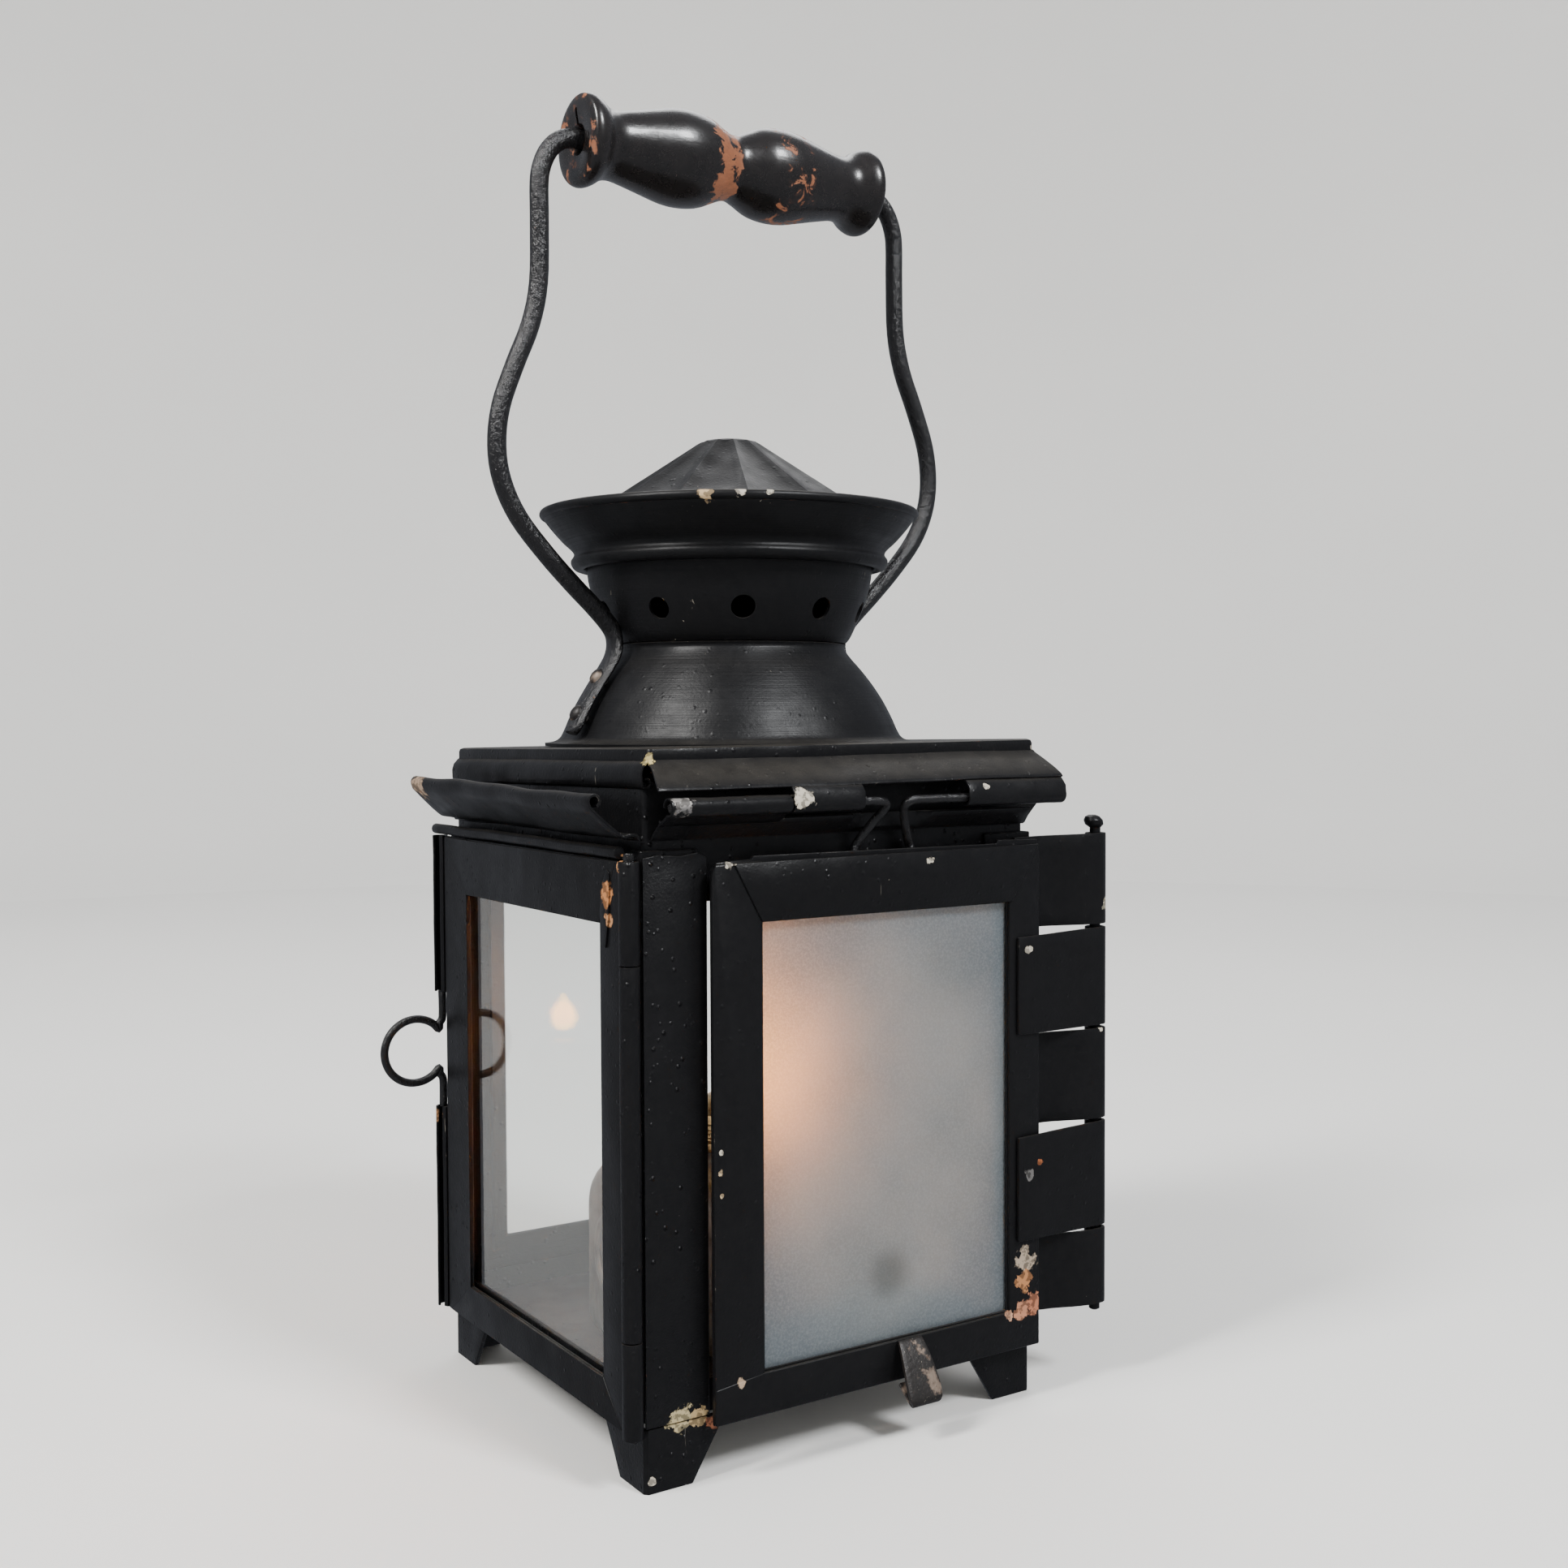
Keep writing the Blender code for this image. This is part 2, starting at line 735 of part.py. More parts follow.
def roof_plate():
    half_x, half_y = HALF_X - 0.4 * MM, HALF_Y - 0.2 * MM
    rings = [
        square(33.0 * MM, 33.0 * MM, ROOF_TOP, 12 * MM),
        square(half_x, half_y, ROOF_TOP),
        square(half_x, half_y, ROOF_TOP - 3.2 * MM),
    ]
    low = square(half_x + EAVE_STRAIGHT, half_y + EAVE_STRAIGHT, ROOF_TOP - 8.6 * MM)
    lip = square(half_x + EAVE_STRAIGHT, half_y + EAVE_STRAIGHT, ROOF_TOP - 9.8 * MM)
    for ring in (low, lip):
        for i, (x, y, z) in enumerate(ring):
            if y < 0:
                ring[i] = (x, y - EAVE_FLARE + EAVE_STRAIGHT, z)
    rings += [low, lip]
    sheet("roof_plate", rings, PAINT, ROOF, thickness=0.9 * MM)


def roof_hinge():
    axis = (ROOF_AXIS_Y, ROOF_AXIS_Z)
    for name, start, end, parent in (
        ("roof_knuckle_left", -19.0, 2.0, ROOF),
        ("roof_knuckle_right", 35.0, 64.0, ROOF),
        ("collar_knuckle", -53.5, -19.5, LANTERN),
    ):
        on_roof = parent is ROOF
        leaf(
            name,
            ((start + end) / 2 * MM, *axis),
            (1, 0, 0),
            (0, 0, 1) if on_roof else (0, 0, -1),
            3.0 * MM if on_roof else 5.6 * MM,
            ROOF_KNUCKLE,
            ROOF_BORE,
            0.5 * MM,
            1,
            (end - start) * MM,
            PAINT,
            parent,
        )
    # The wire runs through the knuckles, and its middle is bent down into a ring.
    drop = 6.2 * MM
    middle_x = 9.4 * MM
    ring_z = ROOF_AXIS_Z - drop - RING
    ring_y = -58.9 * MM
    points = [(-53.0 * MM, *axis), (1.6 * MM, *axis), (4.6 * MM, axis[0] + 0.6 * MM, axis[1] - 1.6 * MM)]
    count = 16
    opening = math.radians(32)
    for i in range(count + 1):
        angle = math.pi / 2 + opening + (math.tau - 2 * opening) * i / count
        points.append(
            (
                middle_x + RING * math.cos(angle),
                ring_y,
                ring_z + RING * math.sin(angle),
            )
        )
    points += [
        (14.2 * MM, axis[0] + 0.6 * MM, axis[1] - 1.6 * MM),
        (18.0 * MM, *axis),
        (63.5 * MM, *axis),
    ]
    wire("roof_hinge_wire", points, WIRE, STEEL)


def dome():
    outer = [
        (32.6, 205.2),
        (33.4, 202.2),
        (38.4, 194.6),
        (43.2, 186.6),
        (46.6, 180.6),
        (48.4, 178.75),
    ]
    outer = [(r * MM, z * MM) for r, z in outer]
    return turned("dome", shell_profile(outer, 0.8 * MM), PAINT, ROOF, place=(0, 0, 0))


def vent_cup():
    outer = [
        (39.6, 227.4),
        (39.2, 223.0),
        (37.6, 217.0),
        (35.2, 211.0),
        (33.4, 207.0),
        (32.2, 205.6),
    ]
    outer = [(r * MM, z * MM) for r, z in outer]
    made = turned("vent_cup", shell_profile(outer, 0.8 * MM), PAINT, ROOF)
    for i in range(VENT_HOLES):
        angle = math.tau * (i + 0.78) / VENT_HOLES
        out = Vector((math.cos(angle), math.sin(angle), -0.35)).normalized()
        middle = Vector((36.4 * math.cos(angle), 36.4 * math.sin(angle), 214.0)) * MM
        hole = rod(
            "vent_hole_%d" % i,
            middle - out * 6 * MM,
            middle + out * 6 * MM,
            3.1 * MM,
            PAINT,
            count=12,
        )
        boolean(made, hole, "DIFFERENCE")


def crown_ring():
    outer = [
        (51.2, 242.6),
        (52.4, 242.0),
        (52.6, 240.6),
        (51.6, 239.6),
        (46.6, 233.6),
        (43.4, 231.0),
        (43.0, 230.2),
        (43.8, 228.8),
        (43.6, 227.2),
        (42.4, 226.0),
        (40.9, 226.0),
    ]
    outer = [(r * MM, z * MM) for r, z in outer]
    inner = [(40.0, 226.6), (40.0, 229.0), (41.8, 231.8), (45.6, 234.6), (50.4, 240.6)]
    inner = [(r * MM, z * MM) for r, z in inner]
    return turned("crown_ring", outer + inner, PAINT, ROOF)


def cap():
    """The pleated cone: a ridge at every pleat, flats between, and a flat top."""
    rings = []
    for radius, z, depth in ((7.4, 261.2, 0.3), (8.2, 260.9, 0.5), (24.0, 250.2, 1.2), (45.0, 236.6, 1.6)):
        ring = []
        for i in range(CAP_PLEATS * 4):
            angle = math.tau * i / (CAP_PLEATS * 4)
            lift = (0.0, -0.5, -1.0, -0.5)[i % 4] * depth
            r = (radius + lift) * MM
            ring.append((r * math.cos(angle), r * math.sin(angle), z * MM))
        rings.append(ring[::-1])
    rings = rings[::-1]
    made = sheet("cap", rings, PAINT, ROOF, thickness=0.7 * MM, offset=1.0, capped=True)
    return made


def bail_path():
    """The wire's middle line in the plane of the bail, from one end to the other, with the half
    width and half thickness of its section at each point."""
    leg = [
        (48.6, 181.8),
        (45.6, 187.2),
        (42.2, 192.8),
        (39.1, 197.8),
        (36.9, 202.0),
        (36.3, 205.8),
        (37.6, 209.6),
        (42.4, 214.8),
        (48.4, 220.4),
        (56.2, 228.2),
        (64.0, 237.4),
        (68.4, 246.4),
        (69.8, 255.4),
        (68.6, 265.4),
        (64.6, 276.4),
        (60.0, 287.4),
        (57.6, 298.4),
    ]
    path = [(x * MM, z * MM) for x, z in leg]
    path.append((BAIL_SIDE, 313.0 * MM))
    bend = 7.0 * MM
    for i in range(6):
        angle = math.radians(90) * i / 5
        path.append((BAIL_SIDE - bend + bend * math.cos(angle), BAIL_TOP - bend + bend * math.sin(angle)))
    sections = []
    for i in range(len(path)):
        flat = min(max((4.6 - i) / 2.0, 0.0), 1.0)
        wide = BAIL_WIRE * (1 + 0.75 * flat)
        thick = BAIL_WIRE * (1 - 0.44 * flat)
        sections.append((wide, thick))
    path += [(0.0, BAIL_TOP)]
    sections += [(BAIL_WIRE, BAIL_WIRE)]
    mirrored = [(-x, z) for x, z in path[:-1]]
    return path[:-1] + [path[-1]] + mirrored[::-1], sections + sections[:-1][::-1]


def bail():
    """The bail is one wire, flattened where it is riveted to the dome."""
    path, sections = bail_path()
    count = 10
    bm = bmesh.new()
    rings = []
    for i, ((x, z), (wide, thick)) in enumerate(zip(path, sections)):
        before = Vector(path[max(i - 1, 0)])
        after = Vector(path[min(i + 1, len(path) - 1)])
        along = (after - before).normalized()
        normal = Vector((-along.y, 0.0, along.x))
        ring = []
        for k in range(count):
            angle = math.tau * (k + 0.5) / count
            spot = Vector((x, 0.0, z)) + normal * thick * math.cos(angle)
            ring.append(bm.verts.new(spot + Vector((0.0, wide * math.sin(angle), 0.0))))
        rings.append(ring)
    for first, second in zip(rings, rings[1:]):
        for k in range(count):
            j = (k + 1) % count
            bm.faces.new((first[k], first[j], second[j], second[k]))
    bm.faces.new(rings[0][::-1])
    bm.faces.new(rings[-1])
    made = mesh_object("bail", bm_to_mesh("bail", bm), BAIL_PAINT, ROOF, smooth=50.0)
    slope = Vector((3.2, 0.0, -5.2)).normalized()
    out = Vector((slope.z * -1, 0.0, slope.x)).normalized()
    for side in (1, -1):
        name_side = "right" if side > 0 else "left"
        for name, x, z in (("upper", 40.4, 195.4), ("lower", 46.4, 185.8)):
            foot_point = Vector((x * side, 0.0, z)) * MM
            outward = Vector((out.x * side, 0.0, out.z))
            hole = rod(
                "rivet_hole_%s_%s" % (name_side, name),
                foot_point - outward * 6 * MM,
                foot_point + outward * 6 * MM,
                1.6 * MM,
                PAINT,
                count=10,
            )
            boolean(made, hole, "DIFFERENCE")
            boolean(bpy.data.objects["dome"], hole, "DIFFERENCE")
            rivet("rivet_%s_%s" % (name_side, name), foot_point, outward)


def rivet(name, middle, outward):
    """A round-headed rivet: its shank passes through the bail and the dome."""
    profile = [
        (0.0, 3.4 * MM),
        (1.5 * MM, 3.0 * MM),
        (2.4 * MM, 2.1 * MM),
        (2.5 * MM, 1.75 * MM),
        (1.25 * MM, 1.7 * MM),
        (1.25 * MM, -4.4 * MM),
        (0.0, -4.4 * MM),
    ]
    made = turned(name, profile, STEEL, ROOF, steps=12)
    turn = outward.to_track_quat("Z", "Y").to_matrix().to_4x4()
    made.matrix_basis = Matrix.Translation(middle) @ turn


def grip():
    half = [
        (2.0, 9.1),
        (5.0, 10.3),
        (9.0, 12.0),
        (14.0, 12.8),
        (20.0, 12.6),
        (27.0, 11.3),
        (34.0, 9.7),
        (39.0, 8.9),
        (42.6, 9.5),
        (45.6, 11.3),
        (47.8, 12.1),
        (49.4, 11.5),
        (50.0, 9.8),
    ]
    outer = [(-x, r) for x, r in half[::-1]] + [(0.0, 8.8)] + half
    profile = [(r * MM, -x * MM) for x, r in outer]
    profile += [(GRIP_BORE, -GRIP_HALF), (GRIP_BORE, GRIP_HALF)]
    holder = empty("grip_axis", (0.0, -ROOF_AXIS_Y, BAIL_TOP - ROOF_AXIS_Z), ROOF)
    made = turned("grip", profile, WOOD, holder, steps=24)
    made.matrix_basis = Matrix.Translation((0, 0, BAIL_TOP)) @ Matrix.Rotation(math.radians(90), 4, "Y")


# Lamp.


def oil_tank():
    bottom = TANK_BOTTOM
    outer = [
        (10.5 * MM, TANK_TOP),
        (20.0 * MM, TANK_TOP - 1.2 * MM),
        (31.0 * MM, TANK_TOP - 5.0 * MM),
        (37.6 * MM, TANK_TOP - 10.0 * MM),
        (TANK_RADIUS, TANK_TOP - 16.0 * MM),
        (TANK_RADIUS, bottom + 1.5 * MM),
        (TANK_RADIUS - 1.2 * MM, bottom),
        (0.0, bottom),
    ]
    wall = 0.8 * MM
    inner = [
        (0.0, bottom + wall),
        (TANK_RADIUS - wall - 0.6 * MM, bottom + wall),
        (TANK_RADIUS - wall, bottom + 2.2 * MM),
        (TANK_RADIUS - wall, TANK_TOP - 16.2 * MM),
        (36.9 * MM, TANK_TOP - 10.6 * MM),
        (30.6 * MM, TANK_TOP - 5.9 * MM),
        (19.8 * MM, TANK_TOP - 2.0 * MM),
        (10.5 * MM, TANK_TOP - wall),
    ]
    profile = outer + inner
    bm = bmesh.new()
    corners = [bm.verts.new((radius, 0.0, height)) for radius, height in profile]
    for i, first in enumerate(corners):
        second = corners[(i + 1) % len(corners)]
        if i != len(outer) - 1:
            bm.edges.new((first, second))
    mesh = bpy.data.meshes.new("oil_tank")
    bm.to_mesh(mesh)
    bm.free()
    made = mesh_object("oil_tank", mesh, TIN, LAMP)
    screw = made.modifiers.new("turn", "SCREW")
    screw.steps = TURN_STEPS
    screw.render_steps = TURN_STEPS
    screw.use_merge_vertices = True
    screw.merge_threshold = 0.00001


def burner():
    base = TANK_TOP + GAP
    collar_profile = [
        (9.8 * MM, base + 2.6 * MM),
        (11.8 * MM, base + 2.2 * MM),
        (11.8 * MM, base),
        (9.8 * MM, base),
    ]
    turned("tank_collar", collar_profile, BRASS, LAMP, steps=24)
    body = [
        (6.4 * MM, base + 7.6 * MM),
        (10.6 * MM, base + 7.4 * MM),
        (11.4 * MM, base + 6.2 * MM),
        (11.4 * MM, base + 3.2 * MM),
        (9.3 * MM, base + 2.95 * MM),
        (9.3 * MM, base - 5.0 * MM),
        (6.4 * MM, base - 5.0 * MM),
    ]
    made = turned("burner_body", body, BRASS, LAMP, steps=24)
    shaft_z = base + 4.8 * MM
    hole = rod(
        "shaft_hole",
        (0.0, 4.0 * MM, shaft_z),
        (0.0, 16.0 * MM, shaft_z),
        1.25 * MM,
        BRASS,
        count=10,
    )
    boolean(made, hole, "DIFFERENCE")
    gallery = [
        (5.2 * MM, base + 14.6 * MM),
        (8.2 * MM, base + 13.6 * MM),
        (10.6 * MM, base + 11.0 * MM),
        (11.9 * MM, base + 10.2 * MM),
        (11.9 * MM, base + 7.9 * MM),
        (11.2 * MM, base + 7.9 * MM),
        (11.2 * MM, base + 9.7 * MM),
        (10.1 * MM, base + 10.4 * MM),
        (7.8 * MM, base + 12.9 * MM),
        (5.2 * MM, base + 13.8 * MM),
    ]
    made = turned("burner_gallery", gallery, BRASS, LAMP, steps=24)
    for i in range(6):
        angle = math.tau * (i + 0.5) / 6
        out = Vector((math.cos(angle), math.sin(angle), 0.0))
        spot = Vector((0, 0, base + 9.1 * MM))
        hole = rod("air_hole_%d" % i, spot + out * 9 * MM, spot + out * 14 * MM, 0.9 * MM, BRASS, count=8)
        boolean(made, hole, "DIFFERENCE")
    half_x, half_y, wall = 4.6 * MM, 1.7 * MM, 0.5 * MM
    low, high = base - 3.0 * MM, base + 13.4 * MM
    tube_outline = rectangle((-half_x, -half_y, half_x, half_y))
    tube_hole = rectangle((-half_x + wall, -half_y + wall, half_x - wall, half_y - wall))
    outline_object(
        "wick_tube", (tube_outline, tube_hole), high - low, BRASS, LAMP, Matrix.Translation((0, 0, (low + high) / 2))
    )
    wick_frame = empty("wick_axis", (0, 0, 0), LAMP)
    box(
        "wick",
        (-half_x + 0.9 * MM, -0.75 * MM, TANK_BOTTOM + 8 * MM),
        (half_x - 0.9 * MM, 0.75 * MM, high + 1.6 * MM),
        COTTON,
        wick_frame,
    )
    knob_frame = empty("knob_axis", (0.0, 0.0, shaft_z - TANK_BOTTOM), LAMP)
    profile = [
        (0.0, 27.2 * MM),
        (4.4 * MM, 27.0 * MM),
        (5.0 * MM, 26.2 * MM),
        (5.0 * MM, 24.8 * MM),
        (4.4 * MM, 24.0 * MM),
        (0.95 * MM, 23.8 * MM),
        (0.95 * MM, 2.2 * MM),
        (0.0, 2.2 * MM),
    ]
    made = turned("wick_shaft", profile, BRASS, knob_frame, steps=16)
    made.matrix_basis = Matrix.Translation((0, 0, shaft_z)) @ Matrix.Rotation(math.radians(-90), 4, "X")


def build():
    base_pan()
    for name_y, side_y in (("front", -1), ("back", 1)):
        for name_x, side_x in (("left", -1), ("right", 1)):
            foot("foot_%s_%s" % (name_y, name_x), side_x, side_y)
            leg_y = 6.0 * MM if (side_x, side_y) == (-1, -1) else 12.0 * MM
            post("post_%s_%s" % (name_y, name_x), side_x, side_y, POST_WIDTH, leg_y)
    upper_band()
    collars()
    side_wall()
    back_window()
    front_hinge()
    front_panel()
    left_door()
    left_hinge()
    door_ring()
    roof_plate()
    roof_hinge()
    dome()
    vent_cup()
    crown_ring()
    cap()
    bail()
    grip()
    oil_tank()
    burner()


build()
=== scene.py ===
"""The looks of the hand lantern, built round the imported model: painted sheet metal, glass, worn wood,
tin and brass, with a camera, a pale floor and soft light.

Shapes are given in millimetres in the body's frame: X and Y from the body's middle, Z from the floor.
"""

import json
import math

import bmesh
import bpy
from mathutils import Matrix, Vector

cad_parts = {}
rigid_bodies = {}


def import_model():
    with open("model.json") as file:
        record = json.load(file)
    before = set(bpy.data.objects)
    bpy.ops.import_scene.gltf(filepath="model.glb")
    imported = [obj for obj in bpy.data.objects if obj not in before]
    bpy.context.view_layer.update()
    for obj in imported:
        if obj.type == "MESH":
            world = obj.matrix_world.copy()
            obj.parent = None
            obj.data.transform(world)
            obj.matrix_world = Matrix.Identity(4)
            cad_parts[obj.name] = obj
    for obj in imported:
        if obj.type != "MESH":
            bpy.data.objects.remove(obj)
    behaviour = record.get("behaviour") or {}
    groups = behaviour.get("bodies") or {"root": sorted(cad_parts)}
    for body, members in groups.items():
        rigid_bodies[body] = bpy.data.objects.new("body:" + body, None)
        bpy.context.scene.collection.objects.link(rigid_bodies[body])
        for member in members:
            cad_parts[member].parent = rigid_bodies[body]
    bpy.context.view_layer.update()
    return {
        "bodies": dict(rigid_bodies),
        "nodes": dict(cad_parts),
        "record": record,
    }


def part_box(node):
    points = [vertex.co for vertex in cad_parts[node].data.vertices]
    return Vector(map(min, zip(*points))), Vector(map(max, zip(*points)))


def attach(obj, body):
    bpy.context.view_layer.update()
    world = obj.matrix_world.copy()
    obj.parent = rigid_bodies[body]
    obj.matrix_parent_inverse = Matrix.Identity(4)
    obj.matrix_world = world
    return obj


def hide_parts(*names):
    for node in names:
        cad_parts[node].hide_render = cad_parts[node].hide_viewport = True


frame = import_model()

MM = 0.001


def middle_of(node):
    low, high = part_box(node)
    return (low + high) / 2


BODY_Y = middle_of("dome").y

# Driving sizes, in mm. They repeat the working model's.
HALF_X = 60.0
HALF_Y = 57.5
ROOF_TOP = 178.0
BODY_TOP = 154.0
PANEL_FACE = -62.3
PANEL_LEFT, PANEL_RIGHT = -43.2, 59.4
PANEL_BOTTOM, PANEL_TOP = 14.5, 152.5
PANEL_OPENING = (-29.0, 25.0, 48.8, 136.0)
PANEL_AXIS = (81.0, -60.7)
LEAF_LEVELS = (153.5, 127.5, 99.5, 73.5, 43.5, 21.5)
DOOR_AXIS = (-62.9, -57.0)
DOOR_EDGE = 58.3
DOOR_OPENING = (-43.0, 25.0, 38.5, 136.0)
DOOR_NOTCH = (73.0, 106.5)
MIDDLE_KNUCKLE = (38.0, 127.0)
ROOF_AXIS = (-66.2, 164.4)
BAND_TOP = 170.0  # under the roof plate; the model's band ends lower
ROOF_SHIFT = (1.7, -0.4)  # of the real roof, to the right and forward
ROOF_SLOPE = (0.0075, -0.013)  # rise per mm along X and along Y
BAIL_TOP = 337.0
VENT_HOLES = 10
CAP_PLEATS = 12


def at(x, y, z):
    """A point in the body's frame, in mm, as a place in the scene."""
    return Vector((x * MM, y * MM + BODY_Y, z * MM))


# ---------------------------------------------------------------- shader graphs


class Graph:
    """A material's node tree with short calls for the nodes that repeat."""

    def __init__(self, name):
        self.material = bpy.data.materials.new(name)
        self.material.use_nodes = True
        self.tree = self.material.node_tree
        self.shader = self.tree.nodes["Principled BSDF"]
        place = self.node("ShaderNodeTexCoord").outputs["Object"]
        self.mm = self.vector("SCALE", place, scale=1000.0)

    def node(self, kind, **settings):
        made = self.tree.nodes.new(kind)
        for key, value in settings.items():
            setattr(made, key, value)
        return made

    def put(self, socket, value):
        if isinstance(value, bpy.types.NodeSocket):
            self.tree.links.new(value, socket)
        elif value is not None:
            socket.default_value = value

    def vector(self, operation, first, second=None, scale=None):
        made = self.node("ShaderNodeVectorMath", operation=operation)
        self.put(made.inputs[0], first)
        self.put(made.inputs[1], second)
        if scale is not None:
            made.inputs["Scale"].default_value = scale
        scalar = operation in ("DISTANCE", "DOT_PRODUCT", "LENGTH")
        return made.outputs["Value" if scalar else "Vector"]

    def math(self, operation, first, second=None, clamp=False):
        made = self.node("ShaderNodeMath", operation=operation, use_clamp=clamp)
        self.put(made.inputs[0], first)
        self.put(made.inputs[1], second)
        return made.outputs[0]

    def noise(self, scale, detail=3.0, roughness=0.55, vector=None, distortion=0.0):
        made = self.node("ShaderNodeTexNoise")
        self.put(made.inputs["Vector"], vector if vector is not None else self.mm)
        made.inputs["Scale"].default_value = scale
        made.inputs["Detail"].default_value = detail
        made.inputs["Roughness"].default_value = roughness
        made.inputs["Distortion"].default_value = distortion
        return made.outputs["Fac"]

    def cells(self, scale):
        made = self.node("ShaderNodeTexVoronoi", feature="F1")
        self.put(made.inputs["Vector"], self.mm)
        made.inputs["Scale"].default_value = scale
        return made.outputs["Distance"]

    def stretched(self, x, y, z):
        return self.vector("MULTIPLY", self.mm, (x, y, z))

    def step(self, value, low, high):
        """0 below low and 1 above high, smooth between. low may be the larger of the two."""
        made = self.node("ShaderNodeMapRange", interpolation_type="SMOOTHSTEP")
        self.put(made.inputs["Value"], value)
        flip = low > high
        made.inputs["From Min"].default_value = min(low, high)
        made.inputs["From Max"].default_value = max(low, high)
        made.inputs["To Min"].default_value = 1.0 if flip else 0.0
        made.inputs["To Max"].default_value = 0.0 if flip else 1.0
        return made.outputs["Result"]

    def range(self, value, low, high):
        made = self.node("ShaderNodeMapRange")
        self.put(made.inputs["Value"], value)
        made.inputs["To Min"].default_value = low
        made.inputs["To Max"].default_value = high
        return made.outputs["Result"]

    def mix(self, factor, first, second):
        made = self.node("ShaderNodeMix", data_type="RGBA")
        self.put(made.inputs["Factor"], factor)
        for socket, value in ((made.inputs["A"], first), (made.inputs["B"], second)):
            self.put(socket, (*value, 1.0) if isinstance(value, tuple) else value)
        return made.outputs["Result"]

    def either(self, *masks):
        total = masks[0]
        for mask in masks[1:]:
            total = self.math("MAXIMUM", total, mask)
        return total

    def edges(self, radius=0.4):
        """Near 1 at convex and concave edges, 0 on open faces."""
        rounded = self.node("ShaderNodeBevel", samples=6)
        rounded.inputs["Radius"].default_value = radius * MM
        true = self.node("ShaderNodeNewGeometry").outputs["Normal"]
        return self.math("SUBTRACT", 1.0, self.vector("DOT_PRODUCT", rounded.outputs["Normal"], true))

    def upward(self):
        """How far a face looks up."""
        normal = self.node("ShaderNodeNewGeometry").outputs["Normal"]
        return self.vector("DOT_PRODUCT", normal, (0.0, 0.0, 1.0))

    def spot(self, centre, radius, ragged):
        """A ragged patch round a point, in mm."""
        reach = self.vector("DISTANCE", self.mm, (centre[0], centre[1] + BODY_Y / MM, centre[2]))
        reach = self.math("ADD", reach, self.math("MULTIPLY", ragged, radius * 2.6))
        return self.step(reach, radius * 2.35, radius * 2.2)

    def bump(self, height, strength, distance):
        made = self.node("ShaderNodeBump")
        made.inputs["Strength"].default_value = strength
        made.inputs["Distance"].default_value = distance * MM
        self.put(made.inputs["Height"], height)
        return made.outputs["Normal"]

    def finish(self, colour=None, roughness=None, metallic=None, normal=None, **constant):
        inputs = self.shader.inputs
        self.put(inputs["Base Color"], (*colour, 1.0) if isinstance(colour, tuple) else colour)
        self.put(inputs["Roughness"], roughness)
        self.put(inputs["Metallic"], metallic)
        self.put(inputs["Normal"], normal)
        for key, value in constant.items():
            inputs[key.replace("_", " ")].default_value = value
        return self.material


PALE = (0.43, 0.39, 0.32)
RUST = (0.28, 0.085, 0.028)
STEEL = (0.36, 0.34, 0.32)
DUST = (0.19, 0.17, 0.14)
BLACK = (0.0035, 0.0035, 0.0041)


